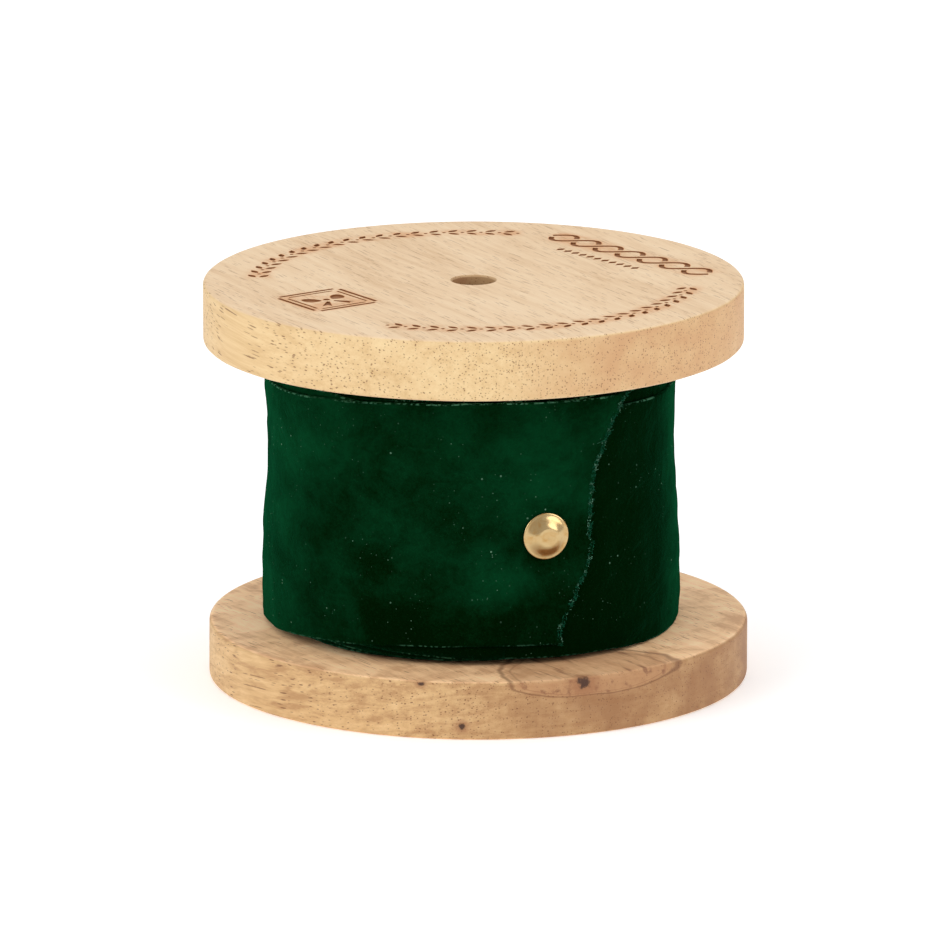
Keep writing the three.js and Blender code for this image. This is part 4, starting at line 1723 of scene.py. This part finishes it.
@dataclass
class Ribbon:
    """The wound strip of velvet and its cut end, in millimetres.

    Angles are degrees round the spindle from the front towards +X. "Back" is a number of degrees
    back from the cut end along the strip.

    Args:
        width: Width of the strip.
        pitch: Radial distance from one turn to the next.
        outer: Radius of the outer face at the cut end.
        core: Radius where the innermost turn starts.
        core_gap: Gap left over the core.
        cloth: Thickness of the cloth.
        cut_middle: Mean angle of the cut edge.
        last_turn: Length of the outermost turn in degrees.
        lean: How far the pack sits towards -X.
        press: How deep the pin's head presses the cloth.
        pressed: How far a point is pressed, by its distance from the pin's axis.
        end_level: Height of the lower edge at the cut, before its rises and falls.
        end_falls: Rises and falls of the last turn's lower edge.
        end_ripple: Fine waver of that edge, as (amount, degrees).
        wound_level: Mean height of the wound turns' lower edge.
        wound_waves: Their slow waver, as (amount, degrees back where it starts, wavelength).
        belly: Swell of the pack at heights over the base.
        lumps: Unevenness of the pack.
        creases: Depth of the creases, by how near a noise comes to its middle.
        crease_lines: Noise that the creases follow.
        crease_part: Where there are creases, by another noise.
        crease_places: That other noise.
        pile: Which way the pile lies, with painted sheen and painted shade.
        velvet: Finish of the cloth.
        thread: Finish of the loose threads.
        fray: How the threads stand at the cut.
    """

    width: float = 54.6
    pitch: float = 0.95
    outer: float = 46.45
    core: float = 21.3
    core_gap: float = 0.8
    cloth: float = 0.62
    cut_middle: float = 34.0
    last_turn: float = 385.0
    lean: float = 0.38
    press: float = 0.5
    pressed: Ease = Ease(1.0, 12.0, 5.2)
    end_level: float = 17.7
    end_falls: tuple[Ease, ...] = (
        Ease(-3.3, 32.0, 112.0),
        Ease(-1.1, 30.0, -20.0),
        Ease(-1.1, 180.0, 300.0),
        Ease(1.2, 318.0, 385.0),
    )
    end_ripple: Point2 = (0.25, 14.0)
    wound_level: float = 16.4
    wound_waves: tuple[Point3, ...] = ((1.6, 439.0, 190.0), (1.2, 410.0, 410.0))
    belly: tuple[Ease, ...] = (
        Ease(0.55, 46.0, 26.0),
        Ease(-0.65, 34.0, 52.0),
        Ease(0.5, 56.0, 72.0),
    )
    lumps: tuple[Lumps, ...] = (
        Lumps(0.42, 19.0, 2.0),
        Lumps(0.34, 8.0, 5.0),
        Lumps(0.2, 4.2, 8.0),
    )
    creases: Ease = Ease(-0.22, 0.14, 0.0)
    crease_lines: Lumps = Lumps(1.0, 13.0, 11.0)
    crease_part: Ease = Ease(1.0, 0.1, 0.5)
    crease_places: Lumps = Lumps(1.0, 31.0, 3.0)
    pile: LaidPile = LaidPile()
    velvet: CrushedVelvet = field(default_factory=CrushedVelvet)
    thread: FrayedThread = field(default_factory=FrayedThread)
    fray: LooseThreads = LooseThreads()

    @staticmethod
    def cut_angle(share: float) -> float:
        """Angle of the ragged cut edge.

        Args:
            share: Share of the ribbon's width, from its lower edge.

        Returns:
            The angle: a hollow low down, a flare towards the top, and two sizes of raggedness.
        """
        angle = 24.7 + 10.0 * smooth(0.02, 0.42, share)
        angle += 12.8 * max(0.0, (share - 0.6) / 0.4) ** 1.6
        angle += 0.9 * noise.noise(Vector((share * 24.0, 3.1, 0.0)))
        return angle + 0.55 * noise.noise(Vector((share * 75.0, 7.7, 0.0)))

    def lower_edge(self, back: float) -> float:
        """Height of the lower edge.

        Args:
            back: Degrees back from the end.

        Returns:
            The height.
        """
        if back > self.last_turn:
            waves = (
                amount * math.sin(TAU * (back - start) / length)
                for amount, start, length in self.wound_waves
            )
            return self.wound_level + sum(waves)
        low = self.end_level + sum(fall.at(back) for fall in self.end_falls)
        amount, size = self.end_ripple
        return low + amount * noise.noise(Vector((back / size, 4.3, 0.0)))

    def place(self, angle: float, share: float, back: float) -> Vector:
        """Point of the outer face of the ribbon, in millimetres.

        Args:
            angle: Angle round the spindle.
            share: Share of the ribbon's width, from its lower edge.
            back: Degrees back from the cut end.

        Returns:
            The point.
        """
        height = self.lower_edge(back) + share * self.width
        radius = self.outer - self.pitch * max(back, 0.0) / 360.0
        loose = smooth(self.core + 3.0, self.outer - 4.0, radius)
        turn = math.radians(angle)
        ahead = Vector((math.sin(turn), -math.cos(turn), 0.0))
        spot = ahead * self.outer + Vector((0.0, 0.0, height))
        swell = sum(ease.at(height) for ease in self.belly)
        swell += sum(layer.at(spot) for layer in self.lumps)
        crease = self.creases.at(abs(self.crease_lines.at(spot)))
        swell += crease * self.crease_part.at(abs(self.crease_places.at(spot)))
        dent = self.dent(spot)
        under = 0.5 ** (max(back, 0.0) / 360.0)
        radius += swell * loose * (1.0 - dent) - self.press * dent * under
        return ahead * radius + Vector((-self.lean * loose * (1.0 - dent), 0.0, height))

    def dent(self, point: Vector) -> float:
        """How far the pin's head presses the cloth in.

        Args:
            point: Point of the outer face.

        Returns:
            1 under the head, 0 clear of it.
        """
        turn = math.radians(TACK_ANGLE)
        axis = Vector((math.sin(turn), -math.cos(turn), 0.0))
        away = point - axis * self.outer - Vector((0.0, 0.0, TACK_HEIGHT))
        if away.dot(axis) < -self.outer:
            return 0.0
        return self.pressed.at((away - axis * away.dot(axis)).length)

    def build(self) -> list[Piece]:
        """Builds both meshes of the strip and the loose threads.

        Returns:
            The wound turns, the last turn and the threads.
        """
        velvet = self.velvet.build()
        wound, wound_length = self._wound(velvet)
        end, end_length = self._end(velvet)
        fray = self._fray(self.thread.build())
        return [wound, end, fray]

    def _strip(
        self,
        columns: Sequence[float],
        rows: int,
        turned: Callable[[float, float], tuple[float, float]],
        length: float,
    ) -> bmesh.types.BMesh:
        """Lays a flat grid of cloth round the spool.

        Args:
            columns: Place along the strip at each column.
            rows: Number of cells across the width.
            turned: Gives (angle, degrees back) for a place along and a share of the width.
            length: Flat length in millimetres for one unit along.

        Returns:
            A bmesh with a "strip" UV map and a "nap" attribute.
        """
        made = bmesh.new()
        bmesh.ops.create_grid(made, x_segments=len(columns) - 1, y_segments=rows, size=0.5)
        nap_and_painted_light = made.verts.layers.float.new("nap_and_painted_light")
        strip = made.loops.layers.uv.new("strip")
        shares = {}
        for vert in made.verts:
            column = round((vert.co.x + 0.5) * (len(columns) - 1))
            shares[vert] = (columns[column], vert.co.y + 0.5)
        for face in made.faces:
            for loop in face.loops:
                along, share = shares[loop.vert]
                loop[strip].uv = (along * length / self.width, share)
        for vert, (along, share) in shares.items():
            angle, back = turned(along, share)
            point = self.place(angle, share, back)
            # Pile lean with painted sheen and painted shade, kept on each point.
            vert[nap_and_painted_light] = self.pile.at(angle, share, back, point)
            vert.co = point * MM
        return made

    def _finish(
        self, name: str, made: bmesh.types.BMesh, velvet: bpy.types.Material
    ) -> Piece:
        """Gives the cloth its thickness and its place on the spool.

        Args:
            name: Piece name.
            made: Bmesh of its outer face.
            velvet: The velvet.

        Returns:
            The finished piece.
        """
        made.faces.ensure_lookup_table()
        made.normal_update()
        probe = made.faces[len(made.faces) // 2]
        centre = probe.calc_center_median()
        if probe.normal.dot(Vector((centre.x, centre.y, 0.0))) < 0.0:
            bmesh.ops.reverse_faces(made, faces=made.faces)
        piece = MeshMaker.piece(name, made, [velvet], Body.SPOOL, Shading.SMOOTH)
        wall = piece.modifiers.new("thickness", "SOLIDIFY")
        wall.thickness = self.cloth * MM
        wall.offset = -1.0
        wall.use_even_offset = False
        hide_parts("ribbon")
        return piece

    def _wound(self, velvet: bpy.types.Material) -> tuple[Piece, float]:
        """The turns under the last one, as one spiral.

        Args:
            velvet: The velvet.

        Returns:
            The piece and its flat length in millimetres.
        """
        wound_depth = self.outer - self.core - self.core_gap
        total = wound_depth / self.pitch * 360.0 - self.last_turn
        fine, coarse, fine_part, rows = 1.5, 7.5, 400.0, 24
        columns = [0.0]
        while columns[-1] < total:
            columns.append(columns[-1] + (fine if columns[-1] < fine_part else coarse))
        length = math.radians(total) * (self.outer + self.core) / 2.0

        def turned(along: float, share: float) -> tuple[float, float]:
            """Angle and degrees back of a place on the spiral."""
            back = self.last_turn + along
            return self.cut_middle - back, back

        made = self._strip(columns, rows, turned, length / total)
        return self._finish("ribbon_wound", made, velvet), length

    def _end(self, velvet: bpy.types.Material) -> tuple[Piece, float]:
        """The last turn with its ragged cut end.

        Args:
            velvet: The velvet.

        Returns:
            The piece and its flat length in millimetres.
        """
        count, crowding, rows = 380, 1.3, 120
        columns = [1.0 - (1.0 - index / count) ** crowding for index in range(count + 1)]
        length = math.radians(self.last_turn) * self.outer

        def turned(along: float, share: float) -> tuple[float, float]:
            """Gives the angle and degrees back of a place on the turn.

            Args:
                along: 0 at the turn's start and 1 at its cut end.
                share: Share of the ribbon's width.

            Returns:
                The angle and the degrees back.
            """
            start = self.cut_middle - self.last_turn
            angle = start + (self.cut_angle(share) - start) * along
            return angle, self.cut_middle - angle

        made = self._strip(columns, rows, turned, length)
        return self._finish("ribbon_end", made, velvet), length

    def _fray(self, thread: bpy.types.Material) -> Piece:
        """Loose threads along the cut edge.

        Args:
            thread: The thread.

        Returns:
            The finished piece.
        """
        fray = self.fray
        dice = random.Random(fray.seed)
        made = bmesh.new()
        for _ in range(fray.tries):
            share = dice.random() ** fray.crowding
            tuft = noise.noise(Vector((share * 31.0, 9.2, 0.0)))
            if tuft < dice.uniform(*fray.gaps) and share < fray.whole_above:
                continue
            angle = self.cut_angle(share) + dice.uniform(*fray.start)
            root = self.place(angle, share, 0.0)
            outward = Vector((root.x, root.y, 0.0)).normalized()
            across = Vector((-outward.y, outward.x, 0.0))
            root += outward * dice.uniform(*fray.sink)
            aim = across * dice.uniform(*fray.across) + Vector((0, 0, dice.uniform(*fray.rise)))
            aim = (aim + outward * dice.uniform(*fray.lift)).normalized()
            reach = dice.uniform(*fray.reach)
            reach *= fray.long_times if dice.random() > fray.long_above else 1.0
            bend = across.cross(aim) * dice.uniform(*fray.bow)
            self._hair(made, root, aim * reach, bend * reach, dice.uniform(*fray.radius))
        self._stray(made)
        bmesh.ops.recalc_face_normals(made, faces=made.faces)
        bmesh.ops.scale(made, vec=(MM, MM, MM), verts=made.verts)
        piece = MeshMaker.piece("ribbon_fray", made, [thread], Body.SPOOL, Shading.SMOOTH)
        return piece

    def _stray(self, made: bmesh.types.BMesh) -> None:
        """Adds the longer stray threads near the top of the cut.

        Args:
            made: Bmesh to add to.
        """
        fray = self.fray
        for share, reach, drop in fray.strays:
            root = self.place(self.cut_angle(share), share, 0.0)
            outward = Vector((root.x, root.y, 0.0)).normalized()
            across = Vector((outward.y, -outward.x, 0.0))
            aim = (across + Vector((0.0, 0.0, drop))).normalized() * reach
            bend = outward * fray.stray_bow * reach
            self._hair(made, root + outward * fray.stray_lift, aim, bend, fray.stray_radius)

    @staticmethod
    def _hair(
        made: bmesh.types.BMesh, root: Vector, reach: Vector, bend: Vector, radius: float
    ) -> None:
        """Adds one thin bent thread.

        Args:
            made: Bmesh to add to.
            root: Where the thread starts.
            reach: Vector to its straight end.
            bend: Sideways bow of its middle.
            radius: Its radius.
        """
        spin = reach.to_track_quat("Z", "Y").to_matrix().to_4x4()
        ring = bmesh.ops.create_circle(
            made, segments=3, radius=radius, matrix=Matrix.Translation(root) @ spin
        )["verts"]
        loop = list(dict.fromkeys(edge for vert in ring for edge in vert.link_edges))
        bmesh.ops.contextual_create(made, geom=loop)
        cuts = 3
        for step in range(cuts):
            grown_loop = bmesh.ops.extrude_edge_only(made, edges=loop)["geom"]
            ring = [item for item in grown_loop if isinstance(item, bmesh.types.BMVert)]
            loop = [item for item in grown_loop if isinstance(item, bmesh.types.BMEdge)]
            lean = bend * (4.0 * (cuts - 2.0 * step - 1.0) / cuts**2)
            bmesh.ops.translate(made, vec=reach / cuts + lean, verts=ring)
        bmesh.ops.contextual_create(made, geom=loop)


@dataclass
class DrawingPin:
    """Domed brass cap on a steel pin, pushed in along a level axis, in millimetres.

    Args:
        face: Radius of the ribbon's face under it.
        head_radius: Radius of the cap.
        head_rise: Height of the cap.
        lip_rise: Height where the dome meets the rolled rim.
        sheet: Thickness of the brass.
        gap: Gap between the cap's rim and the ribbon's face.
        dimple_depth: Depth of the small dimple over the rivet.
        dimple_share: Size of the dimple as a share of the cap's radius.
        slope: How the dome falls away, by the share of the cap's radius.
        dome_shares: Shares of the radius where the flat middle's rings lie.
        slope_rings: Number of rings from there to the rim.
        cap_steps: Number of steps round the cap.
        pin_radius: Radius of the pin.
        pin_length: Length of the pin below the ribbon's face.
        point_length: Length of its point.
        pin_steps: Number of steps round the pin.
        rivet_radius: Radius of the rivet head.
        rivet_thickness: Thickness of the rivet head.
        rivet_gap: Gap between the rivet head and the brass.
        brass: Finish of the cap.
        steel: Finish of the pin.
    """

    face: float = 46.0
    head_radius: float = 5.25
    head_rise: float = 1.7
    lip_rise: float = 0.3
    sheet: float = 0.4
    gap: float = 0.25
    dimple_depth: float = 0.06
    dimple_share: float = 0.07
    slope: Ease = Ease(1.0, 0.34, 0.97)
    dome_shares: tuple[float, ...] = (0.0, 0.03, 0.06, 0.1, 0.16, 0.24, 0.32)
    slope_rings: int = 15
    cap_steps: int = 128
    pin_radius: float = 0.6
    pin_length: float = 8.5
    point_length: float = 1.6
    pin_steps: int = 32
    rivet_radius: float = 1.5
    rivet_thickness: float = 0.6
    rivet_gap: float = 0.1
    brass: PressedMetal = field(
        default_factory=lambda: PressedMetal(
            # The last number is the strength of the painted reflection of dark surroundings on the
            # faces that look down.
            "pressed_brass", srgb(196, 168, 120), srgb(182, 138, 78), 0.2, 0.5
        )
    )
    steel: PressedMetal = field(
        default_factory=lambda: PressedMetal(
            "drawn_steel", srgb(176, 178, 180), srgb(140, 140, 140), 0.3
        )
    )

    def axis_matrix(self) -> Matrix:
        """Places a shape made along +Z, with z = 0 at the ribbon's face, on the pin's axis.

        Returns:
            The matrix, from millimetres to metres.
        """
        turn = math.radians(TACK_ANGLE)
        lay = Matrix.Rotation(math.radians(90.0), 4, "X")
        spin = Matrix.Rotation(turn, 4, "Z")
        spot = (self.face * math.sin(turn), -self.face * math.cos(turn), TACK_HEIGHT)
        return Matrix.Scale(MM, 4) @ Matrix.Translation(spot) @ spin @ lay

    def build(self) -> list[Piece]:
        """Builds cap and pin."""
        return [self._cap(), self._pin()]

    def _cap(self) -> Piece:
        """Pressed cap with a rolled rim and a shallow dome.

        Returns:
            The finished piece.
        """
        rim, low = self.head_radius, self.gap

        def dome(share: float) -> float:
            """Height of the outer face.

            Args:
                share: Share of the radius.

            Returns:
                The height.
            """
            dimple = self.dimple_depth * math.exp(-((share / self.dimple_share) ** 2))
            fallen = 1.0 - self.slope.at(share)
            return low + self.lip_rise + (self.head_rise - self.lip_rise) * fallen - dimple

        first, last = self.slope.low, self.slope.high
        ring = (last - first) / (self.slope_rings - 1)
        shares = [*self.dome_shares, *(first + ring * step for step in range(self.slope_rings))]
        outer = [(rim * share, dome(share)) for share in shares]
        lip = [
            (rim, low + 0.16),
            (rim * 0.996, low + 0.04),
            (rim * 0.975, low),
            (rim * 0.945, low + 0.03),
        ]
        inside_shares = (0.86, 0.72, 0.44, 0.22, 0.0)
        inner = [(rim * share, dome(share) - self.sheet) for share in inside_shares]
        made = MeshMaker.turn(outer + lip + inner, self.cap_steps, closed=False)
        made.transform(self.axis_matrix())
        bmesh.ops.recalc_face_normals(made, faces=made.faces)
        brass = self.brass.build()
        piece = MeshMaker.piece("tack_cap_brass", made, [brass], Body.TACK, Shading.SMOOTH)
        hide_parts("tack_cap")
        return piece

    def _pin(self) -> Piece:
        """Pointed pin with its rivet head.

        Returns:
            The finished piece.
        """
        top = self.gap + self.head_rise - self.sheet - self.rivet_gap
        low = top - self.rivet_thickness
        made = MeshMaker.turn(
            [
                (0.0, -self.pin_length),
                (self.pin_radius * 0.5, -self.pin_length + self.point_length * 0.45),
                (self.pin_radius, -self.pin_length + self.point_length),
                (self.pin_radius, low),
                (self.rivet_radius, low),
                (self.rivet_radius, top - 0.15),
                (self.rivet_radius - 0.2, top),
                (0.0, top),
            ],
            self.pin_steps,
            closed=False,
        )
        made.transform(self.axis_matrix())
        bmesh.ops.recalc_face_normals(made, faces=made.faces)
        steel = self.steel.build()
        piece = MeshMaker.piece("tack_pin_steel", made, [steel], Body.TACK, Shading.EASED)
        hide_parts("tack_pin")
        return piece


@dataclass
class HiddenJoinery:
    """The carried-over solids inside the spool: core, dowels and staples.

    Args:
        core_wood: Wood of the core.
        beech: Wood of the dowels.
        wire: Wire of the staples.
    """

    core_wood: BareWood = field(
        default_factory=lambda: BareWood(
            "core_wood",
            light=srgb(232, 204, 160),
            middle=srgb(216, 182, 134),
            dark=srgb(190, 150, 102),
            pore=srgb(120, 84, 52),
            # Colour of the painted shade on the side turned from the light.
            side=srgb(206, 168, 120),
        )
    )
    beech: BareWood = field(
        default_factory=lambda: BareWood(
            "dowel_beech",
            light=srgb(226, 190, 142),
            middle=srgb(208, 166, 118),
            dark=srgb(184, 140, 94),
            pore=srgb(120, 80, 50),
            # Colour of the painted shade on the side turned from the light.
            side=srgb(196, 150, 104),
        )
    )
    wire: PressedMetal = field(
        default_factory=lambda: PressedMetal(
            "staple_wire", srgb(186, 188, 190), srgb(150, 150, 150), 0.28
        )
    )

    def dress(self, nodes: dict[str, Piece]) -> None:
        """Gives each carried-over solid its finish.

        Args:
            nodes: The frame's nodes by name.
        """
        finishes = {
            "core": self.core_wood.build(),
            "dowel": self.beech.build(),
            "start": self.wire.build(),
        }
        for name, node in nodes.items():
            finish = finishes.get(name.split("_")[0])
            if finish is None:
                continue
            node.data.materials.clear()
            node.data.materials.append(finish)
            LOG.info("%s: dressed", name)


@dataclass(frozen=True)
class Softbox:
    """One square light that looks at the spool.

    Args:
        name: Light name.
        spot: Where it hangs, in metres.
        size: Side of its square in metres.
        power: Power in watts.
        colour: Colour of its light.
    """

    name: str
    spot: Point3
    size: float
    power: float
    colour: Colour = (1.0, 1.0, 1.0)

    def hang(self, target: Vector) -> None:
        """Hangs the light.

        Args:
            target: Point that it looks at.
        """
        data = bpy.data.lights.new(self.name, "AREA")
        data.shape = "SQUARE"
        data.size = self.size
        data.energy = self.power
        data.color = self.colour
        lamp = bpy.data.objects.new(self.name, data)
        lamp.location = self.spot
        aim = target - Vector(self.spot)
        lamp.rotation_euler = aim.to_track_quat("-Z", "Y").to_euler()
        bpy.context.scene.collection.objects.link(lamp)


@dataclass
class Studio:
    """Camera, light and floor.

    Args:
        eye: Place of the camera in metres.
        pitch: How far it looks down, in degrees.
        lens: Focal length in millimetres.
        sensor: Width of the sensor in millimetres.
        clip: Nearest and farthest distance that it sees, in metres.
        floor_half: Half the side of the floor in metres.
        floor_grey: Brightness of the floor's own colour.
        floor_glow: Strength of the floor's own light.
        room: Strength of the light from all round.
        target: Point in metres that the lights look at.
        softboxes: The lights.
    """

    eye: Point3 = (-0.00036, -2.5663, 0.67788)
    pitch: float = 13.84
    lens: float = 453.0
    sensor: float = 36.0
    clip: Point2 = (0.1, 50.0)
    floor_half: float = 6.0
    floor_grey: float = 0.98
    floor_glow: float = 0.2
    room: float = 0.62
    target: Point3 = (0.0, 0.0, 0.05)
    softboxes: tuple[Softbox, ...] = (
        Softbox("key", (-1.35, -1.0, 0.95), 1.2, 13.5),
        Softbox("top", (0.1, 0.2, 1.6), 1.3, 6.5, (0.96, 0.99, 1.06)),
        Softbox("fill", (1.5, -0.7, 0.8), 1.1, 9.0),
    )

    def camera(self) -> None:
        """Sets up the camera."""
        data = bpy.data.cameras.new("view")
        data.lens = self.lens
        data.sensor_width = self.sensor
        data.clip_start, data.clip_end = self.clip
        view = bpy.data.objects.new("view", data)
        view.location = self.eye
        view.rotation_euler = (math.radians(90.0 - self.pitch), 0.0, 0.0)
        bpy.context.scene.collection.objects.link(view)
        bpy.context.scene.camera = view

    def floor(self) -> None:
        """Lays the pale floor."""
        made = bmesh.new()
        bmesh.ops.create_grid(made, x_segments=4, y_segments=4, size=self.floor_half)
        mesh = bpy.data.meshes.new("floor")
        made.to_mesh(mesh)
        made.free()
        bench = NodeBench("pale_floor")
        bench.set_shader(Base_Color=(self.floor_grey,) * 3, Roughness=0.9)
        bench.set_shader(Emission_Color=(1.0, 1.0, 1.0), Emission_Strength=self.floor_glow)
        mesh.materials.append(bench.material)
        plane = bpy.data.objects.new("floor", mesh)
        bpy.context.scene.collection.objects.link(plane)

    def light(self) -> None:
        """Lights the room and hangs the soft lights."""
        scene = bpy.context.scene
        scene.view_settings.view_transform = "Standard"
        world = bpy.data.worlds.new("room")
        world.use_nodes = True
        background = world.node_tree.nodes["Background"]
        background.inputs["Color"].default_value = (1.0, 1.0, 1.0, 1.0)
        background.inputs["Strength"].default_value = self.room
        scene.world = world
        for softbox in self.softboxes:
            softbox.hang(Vector(self.target))


def pale_flange() -> Flange:
    """The upper flange, pale and engraved.

    Returns:
        The flange, not built yet.
    """
    ornament = Ornament()
    wood = BareWood(
        "pale_flange_wood",
        light=srgb(230, 202, 154),
        middle=srgb(222, 190, 141),
        dark=srgb(206, 170, 120),
        pore=srgb(122, 78, 44),
        # Colour of the painted shade on the side turned from the light.
        side=srgb(200, 154, 110),
        mottle=0.3,
        ornament=ornament,
    )
    return Flange("top_flange", wood, "pale_wood", socket_up=False, ornament=ornament)


def tan_flange() -> Flange:
    """The lower flange, darker and knotted.

    Returns:
        The flange, not built yet.
    """
    wood = BareWood(
        "tan_flange_wood",
        light=srgb(224, 188, 138),
        middle=srgb(209, 170, 120),
        dark=srgb(184, 142, 97),
        pore=srgb(112, 70, 44),
        # Colour of the painted shade on the side turned from the light.
        side=srgb(150, 104, 67),
        pore_range=(0.36, 0.72),
        # Painted light: brightens and whitens the level faces, standing in for light that the
        # upper flange keeps off.
        face=(1.52, 1.56, 1.84),
        face_pores=0.75,
        painted_shade_angle=62.0,
        painted_shade_range=(0.1, 0.95),
        grain_turn=-56.0,
        dip=5.0,
        pith=(-20.0, -75.0),
        ring_width=5.0,
        mottle=0.5,
        curl=0.72,
        knots=(
            Knot((24.2, -55.4, 11.9), 1.7, 1.2),
            Knot((-2.6, -60.0, 3.1), 0.9, 1.1),
            Knot((-11.6, -58.8, 12.4), 0.6, 1.5),
        ),
        heart=Heartwood((26.5, -51.5, 13.0), 21.0),
    )
    return Flange("bottom_flange", wood, "tan_wood", socket_up=True, rim_shift=1.05)


def main() -> None:
    """Builds the whole spool in order."""
    logging.basicConfig(level=logging.INFO, format="%(name)s: %(message)s")
    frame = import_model()
    studio = Studio()
    studio.camera()
    studio.floor()
    studio.light()
    tan_flange().build()
    pale_flange().build()
    HiddenJoinery().dress(frame["nodes"])
    Ribbon().build()
    DrawingPin().build()
    bpy.context.view_layer.update()
    LOG.info("sizes written")


if __name__ == "__main__":
    main()
